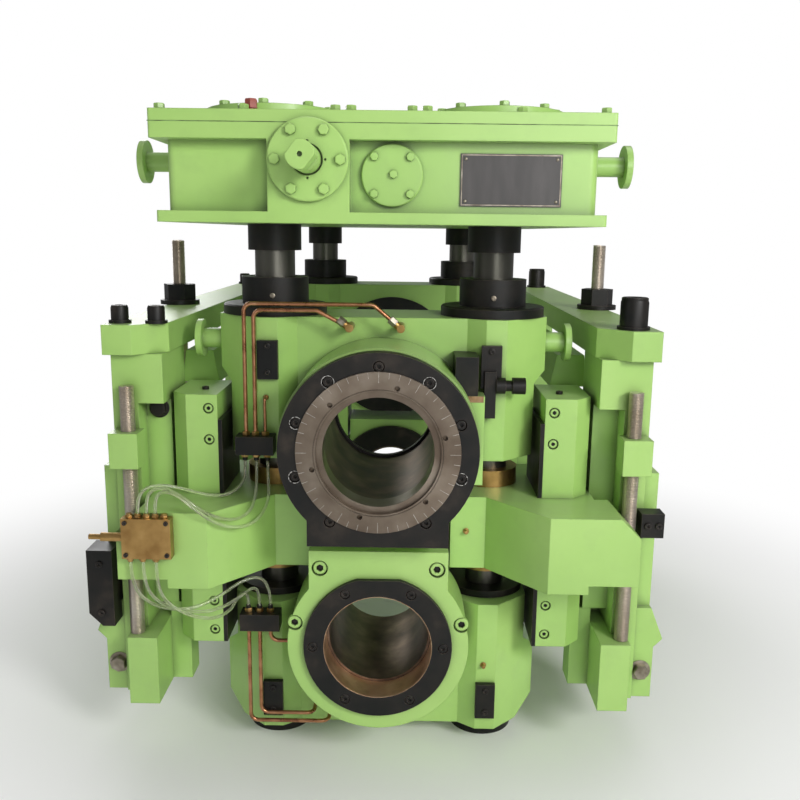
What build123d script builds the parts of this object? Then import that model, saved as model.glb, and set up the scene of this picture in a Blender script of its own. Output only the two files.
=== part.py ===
import os

from build123d import *

# Short-path rolling mill stand: four tie rods between a screwdown gearbox
# and the floor carry two pairs of bearing chocks, guided by two side frames.
# +Z is up, the rolls lie along Y, X is the pass direction.
# The origin is on the floor, midway between the four rods.

overrun = 4.0
seat_gap = 0.15
slide_gap = 6.0

# Tie rods, which are the screws of the stand
rod_pitch_x = 440.0
rod_pitch_y = 1060.0
rod_r = 40.0
rod_slide_gap = 2.0
rod_nut_gap = 0.3
collar_r = 53.0
collar_height = 51.0
end_nut_r = 67.0
end_nut_height = 20.0

# Screwdown gearbox on top of the rods
gearbox_bottom_z = 1074.0
gearbox_half_x = 384.0
gearbox_half_y = 706.0
gearbox_foot_reach = 12.0
gearbox_rim_reach = 22.0
gearbox_front_reach = 34.0
gearbox_foot_height = 20.0
gearbox_rim_height = 28.0
gearbox_cover_height = 21.0
gearbox_corner_r = 16.0
gearbox_edge_r = 5.0
screw_cap_r = 126.0
screw_cap_height = 22.0
screw_cap_hub_r = 62.0
screw_cap_hub_height = 9.0

# Input shaft, its pad and its covers
shaft_x = -128.0
shaft_rise = 88.0
shaft_headroom = 35.0
shaft_r = 24.0
shaft_reach = 119.0
shaft_square_length = 46.0
shaft_square = 38.0
shaft_turn = 38.0
shaft_running_gap = 0.05
shaft_centre_r = 4.0
shaft_centre_depth = 9.0
pad_half_x = 72.0
shaft_cover_r = 71.0
shaft_cover_height = 12.0
second_cover_x = 18.0
second_cover_drop = 23.0
second_cover_r = 55.0
second_cover_height = 10.0
cover_edge = 2.0
plate_edge_inset = 65.0
plate_drop = 29.0
plate_width = 180.0
plate_height = 91.0
plate_thickness = 3.0

# Lifting trunnions
gearbox_trunnion_rise = 9.0
gearbox_trunnion_r = 19.0
gearbox_trunnion_length = 83.0
trunnion_disc_r = 41.0
trunnion_disc_height = 12.0
chock_trunnion_z = 844.0
chock_trunnion_r = 20.0
chock_trunnion_length = 40.0
chock_disc_r = 38.0

# Bearing chocks
chock_half_y = 115.0
chock_half_x = 303.0
chock_face_half_x = 240.0
chock_facet_half_x = 283.0
chock_facet_depth = 40.0
chock_ear_reach = 24.0
chock_ear_facet_depth = 85.0
chock_ear_gap = 17.0
chock_strip_half_x = 200.0
chock_recess_half_x = 165.0
chock_recess_depth = 25.0
upper_axis_z = 676.0
upper_chock_bottom_z = 621.0
upper_chock_top_z = 898.0
upper_boss_r = 184.0
upper_boss_reach = 160.0
upper_barrel_r = 165.0
upper_lobe_half_x = 128.0
upper_lobe_bottom_z = 501.0
shoulder_reach_x = 11.0
shoulder_width = 52.0
shoulder_bottom_z = 590.0
shoulder_top_z = 762.0
shoulder_reach = 62.0
lower_axis_z = 280.0
lower_chock_bottom_z = 42.0
lower_chock_top_z = 319.0
lower_tab_half_x = 132.0
lower_tab_top_z = 470.0
lower_boss_r = 174.0
lower_boss_reach = 95.0
foot_chamfer = 38.0
bearing_bore_r = 128.0

# Covers and rings on the chocks
upper_cover_r = 180.0
upper_cover_height = 29.0
ring_r = 147.0
ring_proud = 4.0
ring_height = 18.0
ring_bore_r = 112.0
ring_seat_length = 9.0
ring_lip_r = 100.0
ring_lip_length = 47.0
ring_groove_r = 114.6
ring_groove_width = 1.6
ring_groove_depth = 1.2
lower_cover_height = 35.0
lower_cover_screw_places = ((111.0, 155.0), (160.0, 44.0))
lower_cover_screw_r = 15.5
lower_cover_screw_depth = 12.0
lower_ring_r = 142.0
lower_ring_flat_z = 136.0
lower_ring_height = 11.0
lower_ring_bore_r = 104.0
upper_sleeve_r = 112.0
lower_sleeve_r = 98.0
lower_sleeve_step = 15.0
upper_seal_r = 186.0
lower_seal_r = 170.0
seal_ring_height = 14.0
seal_ring_bore_r = 106.0

# Nuts and flanges on the rods
flange_r = 104.0
flange_height = 20.0
flange_edge = 3.0
screw_nut_r = 67.0
screw_nut_height = 53.0
lower_disc_r = 81.0
lower_disc_height = 14.0
support_nut_r = 61.0
support_nut_height = 34.0
support_ring_r = 58.0
support_ring_height = 36.0

# Small plates, locks and lubrication blocks on the chocks
keeper_inner_x = 199.0
keeper_width = 40.0
keeper_thickness = 12.0
upper_keeper_z = 780.0
lower_keeper_z = 73.0
keeper_height = 75.0
lock_box_inset = 45.0
lock_box_width = 43.0
lock_box_z = 760.0
lock_box_height = 75.0
lock_box_front = 60.0
lock_plate_reach_x = 7.0
lock_plate_width = 39.0
lock_plate_z = 768.0
lock_plate_height = 82.0
lever_reach_x = 13.0
lever_width = 22.0
lever_z = 712.0
lever_height = 90.0
lever_thickness = 12.0
lock_pin_z = 775.0
lock_pin_r = 10.5
lock_pin_length = 31.0
lock_collar_r = 15.5
lock_collar_length = 18.0
lock_knob_r = 16.0
lock_knob_length = 25.0
manifold_thickness = 38.0
upper_manifold_gap = 22.0
upper_manifold_width = 73.0
upper_manifold_z = 636.0
upper_manifold_height = 36.0
lower_manifold_x = -279.0
lower_manifold_width = 79.0
lower_manifold_z = 272.0
lower_manifold_height = 35.0
pipe_r = 4.0
pipe_bend_r = 16.0
port_r = 5.0
port_length = 14.0
port_places = (15.0, 37.0, 59.0)
lower_pipe_low_places = ((66.0, -104.0), (84.0, -134.0))
lower_pipe_rise = 36.0

# Supports that hold the rods at the pass line
support_bottom_z = 404.0
support_top_z = 551.0
support_inner_x = 139.0
support_half_y = 128.0
support_wing_x = 315.0
support_nose_x = 208.0
support_wing_reach = 125.0
support_outer_x = 483.0
support_step_x = 391.0
support_step = 17.0
support_chamfer = 38.0
boss_relief = 17.0
screw_relief = 9.0

# Guide posts beside the chocks
post_width = 61.0
post_depth = 165.0
post_chamfer = 31.0
post_top_z = 749.0
post_bottom_z = 237.0
web_depth = 78.0
web_top_z = 695.0
beam_seat_length = 40.0
liner_thickness = 8.0
liner_top_z = 700.0
liner_height_lower = 130.0

# Side frames
frame_inner_x = 419.0
column_x = 468.0
frame_outer_x = 517.0
inner_foot_x = 397.0
column_front_y = 663.0
column_back_y = 500.0
column_recess_y = 610.0
head_bottom_z = 731.0
head_top_z = 827.0
leg_x = 437.0
leg_width = 59.0
leg_front_y = 713.0
leg_back_y = 550.0
leg_top_z = 269.0
foot_z = 128.0
inner_foot_y = 608.0
rail_bottom_z = 214.0
rail_top_z = 300.0
bracket_x = 458.0
bracket_width = 55.0
bracket_bottom_z = 613.0
bracket_top_z = 682.0
plate_outer_x = 549.0
plate_front_y = 640.0
plate_top_z = 600.0
foot_block_reach = 26.0
foot_block_top_z = 322.0
foot_block_tip_z = 256.0
foot_block_under_z = 238.0
foot_block_front_y = 655.0
foot_block_back_y = 480.0

# Arms across the columns
arm_height = 57.0
arm_front_y = 683.0
arm_inner_x = 414.0
arm_outer_x = 526.0
arm_chamfer = 56.0
left_bolt_x_places = (433.0, 503.0)
left_bolt_r = 15.0
left_bolt_height = 33.0
right_bolt_x_places = (480.0,)
right_bolt_r = 25.0
right_bolt_height = 60.0
bolt_washer_height = 6.0
bolt_washer_reach = 6.0
arm_bolt_y = 640.0

# Clamping screws, hanger screws and the side beams
clamp_x = 483.0
clamp_y = 684.0
clamp_r = 13.0
clamp_top_z = 769.0
hanger_x = 505.0
hanger_y = 190.0
hanger_r = 14.0
hanger_bottom_z = 610.0
hanger_top_z = 1035.0
hanger_nut_r = 38.0
hanger_nut_height = 38.0
hanger_washer_r = 46.0
hanger_washer_height = 10.0
beam_end_y = 433.0
beam_inner_x = 360.0
beam_outer_x = 440.0
beam_top_inner_x = 373.0
beam_top_outer_x = 432.0
beam_bottom_z = 735.0
beam_top_z = 804.0
clamp_block_depth = 60.0
left_block_bottom_z = 287.0
left_block_height = 157.0
left_block_chamfer = 26.0
left_block_inset = 6.0
left_block_reach = 56.0
right_block_bottom_z = 487.0
right_block_height = 48.0
right_block_inset = 13.0
right_block_width = 44.0
right_block_depth = 37.0

# Brass grease distributor on the left front support
distributor_x = -466.0
distributor_width = 90.0
distributor_z = 470.0
distributor_height = 76.0
distributor_thickness = 22.0
nozzle_z = 508.0
nozzle_r = 8.0
nozzle_length = 40.0
nozzle_tip_r = 5.0
nozzle_tip_length = 22.0
feed_port_length = 8.0
top_port_places = (13.0, 29.0, 45.0, 61.0, 77.0)
bottom_port_places = (12.0, 35.0, 59.0)

# Clear grease hoses from the distributor to the blocks on the chocks
hose_r = 3.0
hose_bend_share = 0.45
hose_routes = {
    "upper_hose_1": [
        (-437, -794, 554), (-437, -794, 580), (-424, -787, 600), (-396, -776, 603), (-362, -761, 592),
        (-330, -744, 576), (-302, -724, 566), (-279, -699, 568), (-264, -674, 584), (-264, -664, 606),
        (-264, -664, 622),
    ],
    "upper_hose_2": [
        (-421, -794, 554), (-421, -794, 580), (-408, -798, 601), (-382, -799, 604), (-351, -799, 586),
        (-322, -795, 561), (-294, -777, 540), (-266, -748, 528), (-245, -718, 536), (-238, -697, 564),
        (-242, -664, 594), (-242, -664, 622),
    ],
    "upper_hose_3": [
        (-405, -794, 554), (-405, -794, 580), (-390, -804, 600), (-362, -811, 597), (-335, -810, 574),
        (-308, -799, 546), (-278, -774, 522), (-248, -741, 513), (-226, -712, 524), (-214, -688, 554),
        (-220, -664, 592), (-220, -664, 622),
    ],
    "lower_hose_1": [
        (-454, -794, 462), (-454, -794, 428), (-440, -792, 390), (-404, -777, 361), (-356, -753, 349),
        (-310, -722, 362), (-272, -695, 384), (-238, -674, 387), (-220, -664, 356), (-220, -664, 321),
    ],
    "lower_hose_2": [
        (-431, -794, 462), (-431, -794, 432), (-422, -796, 399), (-394, -788, 370), (-352, -768, 350),
        (-310, -741, 343), (-276, -712, 354), (-252, -686, 368), (-242, -664, 352), (-242, -664, 321),
    ],
    "lower_hose_3": [
        (-407, -794, 462), (-407, -794, 434), (-401, -801, 404), (-382, -800, 377), (-348, -784, 350),
        (-314, -757, 332), (-290, -728, 334), (-281, -706, 346), (-276, -695, 353), (-271, -682, 354),
        (-267, -671, 347), (-264, -664, 335), (-264, -664, 321),
    ],
}


# Values worked out from the sizes above
rod_x = rod_pitch_x / 2
rod_y = rod_pitch_y / 2
wall_z = gearbox_bottom_z + gearbox_foot_height
shaft_z = wall_z + shaft_rise
rim_z = shaft_z + shaft_headroom
cover_z = rim_z + gearbox_rim_height
gearbox_top_z = cover_z + gearbox_cover_height
second_cover_z = shaft_z - second_cover_drop
plate_z = shaft_z - plate_drop
plate_x = gearbox_half_x - plate_edge_inset - plate_width / 2
gearbox_trunnion_z = shaft_z + gearbox_trunnion_rise
pad_y = gearbox_half_y + gearbox_front_reach
face_y = rod_y + chock_half_y
recess_y = face_y - chock_recess_depth
inner_y = rod_y - chock_half_y
manifold_port_y = -face_y - manifold_thickness / 2
upper_boss_y = recess_y + upper_boss_reach
lower_boss_y = recess_y + lower_boss_reach
shoulder_x = upper_boss_r + shoulder_reach_x
lock_box_x = upper_boss_r - lock_box_inset
lock_plate_x = upper_boss_r + lock_plate_reach_x
lever_x = upper_boss_r + lever_reach_x
upper_manifold_x = -upper_boss_r - upper_manifold_gap - upper_manifold_width
chock_ear_x = chock_half_x + chock_ear_reach
support_front_y = rod_y + support_half_y
wing_y = support_front_y + support_wing_reach
post_inner_x = chock_half_x + slide_gap + liner_thickness
post_outer_x = post_inner_x + post_width
post_back_y = support_front_y - post_depth
upper_flare_z = post_top_z + chock_ear_gap
lower_flare_z = post_bottom_z - chock_ear_gap
arm_top_z = head_top_z + arm_height


def block(x0, x1, y0, y1, z0, z1):
    """A box between six planes."""
    size = (x1 - x0, y1 - y0, z1 - z0)
    middle = ((x0 + x1) / 2, (y0 + y1) / 2, (z0 + z1) / 2)
    return Pos(*middle) * Box(*size)


def upright(r, z0, z1, x=0.0, y=0.0):
    """A cylinder along Z between two heights."""
    return Pos(x, y, (z0 + z1) / 2) * Cylinder(r, z1 - z0)


def along_y(r, y0, y1, x=0.0, z=0.0):
    """A cylinder along Y between two planes."""
    return Pos(x, (y0 + y1) / 2, z) * Rot(X=90) * Cylinder(r, abs(y1 - y0))


def along_x(r, x0, x1, y=0.0, z=0.0):
    """A cylinder along X between two planes."""
    return Pos((x0 + x1) / 2, y, z) * Rot(Y=90) * Cylinder(r, abs(x1 - x0))


def plan(points, z0, z1):
    """An outline in the X-Y plane, raised between two heights."""
    outline = make_face(Polyline(*points, close=True))
    return Pos(Z=z0) * extrude(outline, z1 - z0)


def front_view(points, y0, y1):
    """An outline in the X-Z plane, carried along Y between two planes."""
    places = [(x, y0, z) for x, z in points]
    outline = make_face(Polyline(*places, close=True))
    return extrude(outline, y1 - y0, dir=(0, 1, 0))


def side_to_side(piece):
    """The same piece on the other side of the pass line."""
    return piece.mirror(Plane.YZ)


def end_to_end(piece):
    """The same piece at the other end of the rolls."""
    return piece.mirror(Plane.XZ)


def at_both_ends(*pieces):
    """Pieces of the front end, and the same at the rear."""
    return list(pieces) + [end_to_end(piece) for piece in pieces]


def at_all_rods(piece):
    """A piece of the front right rod, repeated at all four rods."""
    front = [piece, side_to_side(piece)]
    return at_both_ends(*front)


def ring(outer_r, inner_r, z0, z1, x=rod_x, y=-rod_y):
    """A washer or nut round an upright rod."""
    return upright(outer_r, z0, z1, x, y) - upright(inner_r, z0 - overrun, z1 + overrun, x, y)


# Gearbox

def gearbox_case():
    """Cast box with a foot flange, an upper rim and a bored pad at each end."""
    foot = block(
        -gearbox_half_x - gearbox_foot_reach, gearbox_half_x + gearbox_foot_reach,
        -pad_y, pad_y, gearbox_bottom_z, wall_z,
    )
    foot = fillet(foot.edges().filter_by(Axis.Z), gearbox_edge_r)
    wall = block(-gearbox_half_x, gearbox_half_x, -gearbox_half_y, gearbox_half_y, wall_z, rim_z)
    wall = fillet(wall.edges().filter_by(Axis.Z), gearbox_corner_r)
    rim = block(
        -gearbox_half_x - gearbox_rim_reach, gearbox_half_x + gearbox_rim_reach,
        -pad_y, pad_y, rim_z, cover_z,
    )
    rim = fillet(rim.edges().filter_by(Axis.Z), gearbox_edge_r)
    pad = block(shaft_x - pad_half_x, shaft_x + pad_half_x, -pad_y, pad_y, wall_z, rim_z)
    case = foot + wall + rim + pad
    return case - along_y(
        shaft_r + shaft_running_gap, -pad_y - overrun, pad_y + overrun, shaft_x, shaft_z
    )


def gearbox_cover():
    """Flat lid bolted on the rim."""
    lid = block(
        -gearbox_half_x - gearbox_rim_reach, gearbox_half_x + gearbox_rim_reach,
        -pad_y, pad_y, cover_z, gearbox_top_z,
    )
    return fillet(lid.edges().filter_by(Axis.Z), gearbox_edge_r)


def screw_caps():
    """Round caps on the lid, one over each rod."""
    cap = upright(screw_cap_r, gearbox_top_z, gearbox_top_z + screw_cap_height, rod_x, -rod_y)
    hub_z = gearbox_top_z + screw_cap_height
    hub = upright(screw_cap_hub_r, hub_z, hub_z + screw_cap_hub_height, rod_x, -rod_y)
    return at_all_rods(cap + hub)


def input_bearing_covers():
    """Round covers on the pads, which the input shaft passes through."""
    cover = along_y(shaft_cover_r, -pad_y - shaft_cover_height, -pad_y, shaft_x, shaft_z)
    front_edge = cover.edges().filter_by(GeomType.CIRCLE).sort_by(Axis.Y)[0]
    cover = chamfer(front_edge, cover_edge)
    hole = along_y(
        shaft_r + slide_gap / 2, -pad_y - shaft_cover_height - overrun, -pad_y + overrun, shaft_x, shaft_z
    )
    return at_both_ends(cover - hole)


def inspection_covers():
    """Smaller blind covers beside the pads."""
    cover = along_y(
        second_cover_r, -gearbox_half_y - second_cover_height, -gearbox_half_y,
        second_cover_x, second_cover_z,
    )
    front_edge = cover.edges().filter_by(GeomType.CIRCLE).sort_by(Axis.Y)[0]
    return at_both_ends(chamfer(front_edge, cover_edge))


def name_plate():
    """Bare plate on the front wall of the gearbox."""
    return block(
        plate_x - plate_width / 2, plate_x + plate_width / 2,
        -gearbox_half_y - plate_thickness, -gearbox_half_y,
        plate_z - plate_height / 2, plate_z + plate_height / 2,
    )


def trunnion(r, length, disc_r, side_x, z):
    """Lifting pin with an end disc, on a right-hand side wall."""
    disc_x = side_x + length
    pin = along_x(r, side_x, disc_x, -rod_y, z)
    disc = along_x(disc_r, disc_x, disc_x + trunnion_disc_height, -rod_y, z)
    return pin + disc


def gearbox_trunnions():
    """Four lifting pins on the gearbox walls."""
    return at_all_rods(trunnion(
        gearbox_trunnion_r, gearbox_trunnion_length, trunnion_disc_r, gearbox_half_x, gearbox_trunnion_z
    ))


def input_shaft():
    """Through shaft with a flattened end on both sides."""
    end_y = pad_y + shaft_reach
    shaft = along_y(shaft_r, -end_y, end_y, shaft_x, shaft_z)
    for side in (-1, 1):
        flat_y = side * (end_y - shaft_square_length / 2)
        length = shaft_square_length + overrun
        stock = Box(4 * shaft_r, length, 4 * shaft_r)
        keep = Box(shaft_square, length + overrun, 4 * shaft_r)
        place = Pos(shaft_x, flat_y + side * overrun / 2, shaft_z) * Rot(Y=shaft_turn)
        shaft -= place * (stock - keep)
        centre_y = side * (end_y - shaft_centre_depth)
        shaft -= along_y(
            shaft_centre_r, min(centre_y, side * (end_y + overrun)),
            max(centre_y, side * (end_y + overrun)), shaft_x, shaft_z,
        )
    return shaft


# Rods and what is on them

def tie_rods():
    """Four long screws from the floor to the gearbox."""
    return at_all_rods(upright(rod_r, 0, gearbox_bottom_z, rod_x, -rod_y))


def rod_collars():
    """Black collars under the gearbox."""
    return at_all_rods(ring(
        collar_r, rod_r + seat_gap, gearbox_bottom_z - collar_height, gearbox_bottom_z
    ))


def rod_end_nuts():
    """Black nuts at the lower ends, which the stand rests on."""
    return at_all_rods(ring(end_nut_r, rod_r + seat_gap, 0, end_nut_height))


def support_nuts():
    """Brass nuts above the supports and brass rings below them."""
    nut = ring(support_nut_r, rod_r + seat_gap, support_top_z, support_top_z + support_nut_height)
    collar = ring(support_ring_r, rod_r + seat_gap, support_bottom_z - support_ring_height, support_bottom_z)
    return at_all_rods(nut) + at_all_rods(collar)


def chock_flanges():
    """Black flanges on top of the upper chocks."""
    flange = ring(
        flange_r, rod_r + rod_slide_gap, upper_chock_top_z, upper_chock_top_z + flange_height
    )
    rims = flange.edges().filter_by(GeomType.CIRCLE).sort_by(Axis.Z)[-2:]
    outer = rims.sort_by(SortBy.RADIUS)[-1]
    return at_all_rods(chamfer(outer, flange_edge))


def screw_nuts():
    """Black pressure nuts on the flanges."""
    nut_z = upper_chock_top_z + flange_height
    return at_all_rods(ring(screw_nut_r, rod_r + rod_nut_gap, nut_z, nut_z + screw_nut_height))


def lower_discs():
    """Black discs on the shoulders of the lower chocks."""
    return at_all_rods(ring(
        lower_disc_r, rod_r + rod_nut_gap, lower_chock_top_z, lower_chock_top_z + lower_disc_height
    ))


# Chocks

def chock_outline():
    """Plan of a chock: faceted corners and a shallow recess in both end faces."""
    quarter = [
        (chock_recess_half_x, chock_half_y - chock_recess_depth),
        (chock_strip_half_x, chock_half_y),
        (chock_face_half_x, chock_half_y),
        (chock_facet_half_x, chock_half_y - chock_facet_depth),
        (chock_ear_x, chock_half_y - chock_ear_facet_depth),
    ]
    right_back = [(x, y - rod_y) for x, y in quarter]
    right_front = [(x, -y - rod_y) for x, y in reversed(quarter)]
    right = right_back + right_front
    left = [(-x, y) for x, y in reversed(right)]
    return right + left


def chock_shoulders(right):
    """The plan of a chock cut to its front view, from the right-hand edge of that view."""
    heights = [z for _, z in right]
    left = [(-x, z) for x, z in reversed(right)]
    whole = plan(chock_outline(), min(heights), max(heights))
    return whole & front_view(right + left, -face_y - overrun, -inner_y + overrun)


def rod_holes(z0, z1):
    """Clearance holes for the two front rods."""
    hole = upright(rod_r + rod_slide_gap, z0 - overrun, z1 + overrun, rod_x, -rod_y)
    return hole + side_to_side(hole)


def upper_chock():
    """Front upper chock: shoulders on the rods, a deep round boss and a bored lobe."""
    right = [
        (chock_half_x, upper_chock_bottom_z), (chock_half_x, upper_flare_z),
        (chock_ear_x, upper_flare_z + chock_ear_reach), (chock_ear_x, upper_chock_top_z),
    ]
    shoulders = chock_shoulders(right)
    barrel = along_y(upper_barrel_r, -recess_y, -inner_y, 0, upper_axis_z)
    boss = along_y(upper_boss_r, -upper_boss_y, -recess_y, 0, upper_axis_z)
    lobe = block(
        -upper_lobe_half_x, upper_lobe_half_x, -upper_boss_y, -inner_y, upper_lobe_bottom_z, upper_axis_z
    )
    under = block(
        -upper_boss_r, upper_boss_r, -upper_boss_y - overrun, -inner_y + overrun,
        upper_lobe_bottom_z - upper_boss_r, upper_lobe_bottom_z,
    )
    shoulder = block(
        shoulder_x - shoulder_width, shoulder_x, -face_y - shoulder_reach, -recess_y,
        shoulder_bottom_z, shoulder_top_z,
    )
    chock = shoulders + barrel + boss + lobe - under
    chock += shoulder
    chock -= rod_holes(upper_lobe_bottom_z, upper_chock_top_z)
    return chock - along_y(bearing_bore_r, -upper_boss_y - overrun, -inner_y + overrun, 0, upper_axis_z)


def upper_bearing_covers():
    """Black end covers on the upper bosses, with a seat for the graduated ring."""
    y0 = -upper_boss_y - upper_cover_height
    disc = along_y(upper_cover_r, y0, -upper_boss_y, 0, upper_axis_z)
    square = block(
        -upper_lobe_half_x, upper_lobe_half_x, y0, -upper_boss_y, upper_lobe_bottom_z, upper_axis_z
    )
    under = block(
        -upper_boss_r, upper_boss_r, y0 - overrun, -upper_boss_y + overrun,
        upper_lobe_bottom_z - upper_boss_r, upper_lobe_bottom_z,
    )
    cover = disc + square - under
    cover -= along_y(ring_bore_r, y0 - overrun, -upper_boss_y + overrun, 0, upper_axis_z)
    cover -= along_y(
        ring_r + seat_gap, y0 - overrun, y0 - ring_proud + ring_height, 0, upper_axis_z
    )
    return at_both_ends(cover)


def graduated_rings():
    """Steel scale rings let into the upper covers."""
    y0 = -upper_boss_y - upper_cover_height - ring_proud
    lip_y = y0 + ring_seat_length
    collar_y = lip_y + ring_lip_length
    body = along_y(ring_r, y0, y0 + ring_height, 0, upper_axis_z)
    body += along_y(ring_bore_r - seat_gap, y0, collar_y, 0, upper_axis_z)
    body -= along_y(ring_bore_r, y0 - overrun, lip_y, 0, upper_axis_z)
    body -= along_y(ring_lip_r, y0 - overrun, collar_y + overrun, 0, upper_axis_z)
    groove = along_y(ring_groove_r + ring_groove_width, y0 - overrun, y0 + ring_groove_depth, 0, upper_axis_z)
    groove -= along_y(ring_groove_r, y0 - 2 * overrun, y0 + 2 * overrun, 0, upper_axis_z)
    return at_both_ends(body - groove)


def upper_bearing_sleeves():
    """Steel sleeves that line the bores of the upper chocks."""
    sleeve = along_y(bearing_bore_r - seat_gap, -upper_boss_y, -inner_y, 0, upper_axis_z)
    sleeve -= along_y(upper_sleeve_r, -upper_boss_y - overrun, -inner_y + overrun, 0, upper_axis_z)
    return at_both_ends(sleeve)


def lower_bearing_sleeves():
    """Sleeves in the bores of the lower chocks, wider at their mouths."""
    step_y = -lower_boss_y + lower_sleeve_step
    sleeve = along_y(bearing_bore_r - seat_gap, -lower_boss_y, -inner_y, 0, lower_axis_z)
    sleeve -= along_y(lower_sleeve_r, -lower_boss_y - overrun, -inner_y + overrun, 0, lower_axis_z)
    sleeve -= along_y(lower_ring_bore_r, -lower_boss_y - overrun, step_y, 0, lower_axis_z)
    return at_both_ends(sleeve)


def seal_rings(r, axis_z, bottom_z):
    """Black seal rings on the barrel side of a pair of chocks."""
    y0 = -inner_y
    y1 = y0 + seal_ring_height
    disc = along_y(r, y0, y1, 0, axis_z)
    disc -= along_y(seal_ring_bore_r, y0 - overrun, y1 + overrun, 0, axis_z)
    trim = block(-r, r, y0 - overrun, y1 + overrun, bottom_z - r, bottom_z)
    return at_both_ends(disc - trim)


def lower_chock():
    """Front lower chock: shoulders under the supports and a raised middle."""
    right = [
        (chock_ear_x - foot_chamfer, lower_chock_bottom_z),
        (chock_ear_x, lower_chock_bottom_z + foot_chamfer),
        (chock_ear_x, lower_flare_z - chock_ear_reach), (chock_half_x, lower_flare_z),
        (chock_half_x, lower_chock_top_z),
    ]
    shoulders = chock_shoulders(right)
    tab = block(
        -lower_tab_half_x, lower_tab_half_x, -lower_boss_y, -inner_y, lower_axis_z, lower_tab_top_z
    )
    barrel = along_y(lower_seal_r, -recess_y, -inner_y, 0, lower_axis_z)
    barrel -= block(
        -lower_seal_r, lower_seal_r, -recess_y - overrun, -inner_y + overrun,
        lower_chock_top_z, lower_axis_z + lower_seal_r,
    )
    boss = along_y(lower_boss_r, -lower_boss_y, -recess_y, 0, lower_axis_z)
    chock = shoulders + tab + barrel + boss
    chock -= rod_holes(lower_chock_bottom_z, lower_tab_top_z)
    return chock - along_y(bearing_bore_r, -lower_boss_y - overrun, -inner_y + overrun, 0, lower_axis_z)


def lower_bearing_covers():
    """Green covers on the lower bosses, with a flat-topped tab and sunk screws."""
    y0 = -lower_boss_y - lower_cover_height
    disc = along_y(lower_boss_r, y0, -lower_boss_y, 0, lower_axis_z)
    tab = block(-lower_tab_half_x, lower_tab_half_x, y0, -lower_boss_y, lower_axis_z, lower_tab_top_z)
    cover = disc + tab
    cover -= along_y(lower_ring_bore_r, y0 - overrun, -lower_boss_y + overrun, 0, lower_axis_z)
    for x, rise in lower_cover_screw_places:
        for side in (-1, 1):
            cover -= along_y(
                lower_cover_screw_r, y0 - overrun, y0 + lower_cover_screw_depth,
                side * x, lower_axis_z + rise,
            )
    return at_both_ends(cover)


def lower_rings():
    """Black clamping rings with a flattened top."""
    y1 = -lower_boss_y - lower_cover_height
    y0 = y1 - lower_ring_height
    disc = along_y(lower_ring_r, y0, y1, 0, lower_axis_z)
    disc -= along_y(lower_ring_bore_r, y0 - overrun, y1 + overrun, 0, lower_axis_z)
    flat_z = lower_axis_z + lower_ring_flat_z
    disc -= block(
        -lower_ring_r, lower_ring_r, y0 - overrun, y1 + overrun, flat_z, flat_z + lower_ring_r
    )
    return at_both_ends(disc)


def chock_trunnions():
    """Four lifting pins on the upper chocks."""
    return at_all_rods(trunnion(
        chock_trunnion_r, chock_trunnion_length, chock_disc_r, chock_ear_x, chock_trunnion_z
    ))


def keeper(side, z):
    """Black keeper plate on the front face of a chock."""
    inner = side * keeper_inner_x
    outer = side * (keeper_inner_x + keeper_width)
    return block(
        min(inner, outer), max(inner, outer), -face_y - keeper_thickness, -face_y, z, z + keeper_height
    )


def upper_keeper_plates():
    """Keeper plates on the left columns of the upper chocks."""
    return at_both_ends(keeper(-1, upper_keeper_z))


def lower_keeper_plates():
    """Keeper plates low on both columns of the lower chocks."""
    return at_both_ends(keeper(-1, lower_keeper_z), keeper(1, lower_keeper_z))


def axial_lock(chock):
    """Black box and back plate of the axial lock on the front upper chock."""
    box = block(
        lock_box_x, lock_box_x + lock_box_width, -face_y - lock_box_front, -recess_y,
        lock_box_z, lock_box_z + lock_box_height,
    )
    plate = block(
        lock_plate_x, lock_plate_x + lock_plate_width, -face_y - keeper_thickness, -face_y,
        lock_plate_z, lock_plate_z + lock_plate_height,
    )
    box = (box - chock).solids().sort_by(Axis.Y)[0]
    plate = (plate - chock).solids().sort_by(Axis.Y)[0]
    return [box, plate]


def axial_lock_lever():
    """Lever with its side pin, collar and knob, in front of the back plate."""
    back_y = -face_y - keeper_thickness
    pin_x = lever_x + lever_width
    knob_x = pin_x + lock_pin_length
    lever = block(
        lever_x, lever_x + lever_width, back_y - lever_thickness, back_y, lever_z, lever_z + lever_height
    )
    pin_y = back_y - lever_thickness / 2
    pin = along_x(lock_pin_r, pin_x, knob_x, pin_y, lock_pin_z)
    collar = along_x(lock_collar_r, pin_x, pin_x + lock_collar_length, pin_y, lock_pin_z)
    knob = along_x(lock_knob_r, knob_x, knob_x + lock_knob_length, pin_y, lock_pin_z)
    behind = block(
        lever_x, knob_x + lock_knob_length + overrun, back_y, 0,
        lock_pin_z - lock_knob_r - overrun, lock_pin_z + lock_knob_r + overrun,
    )
    return lever + pin + collar + knob - behind


def ports(x, y, z0, z1, places):
    """Short upright stubs that grease lines start from."""
    return [upright(port_r, z0, z1, x + place, y) for place in places]


def upper_manifold():
    """Black block on the upper chock, with hose ports below."""
    body = block(
        upper_manifold_x, upper_manifold_x + upper_manifold_width, -face_y - manifold_thickness, -face_y,
        upper_manifold_z, upper_manifold_z + upper_manifold_height,
    )
    stubs = ports(
        upper_manifold_x, manifold_port_y, upper_manifold_z - port_length, upper_manifold_z, port_places
    )
    return body + stubs


def lower_manifold():
    """Black block on the lower chock, with hose ports above."""
    top_z = lower_manifold_z + lower_manifold_height
    body = block(
        lower_manifold_x, lower_manifold_x + lower_manifold_width, -face_y - manifold_thickness, -face_y,
        lower_manifold_z, top_z,
    )
    return body + ports(lower_manifold_x, manifold_port_y, top_z, top_z + port_length, port_places)


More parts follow.
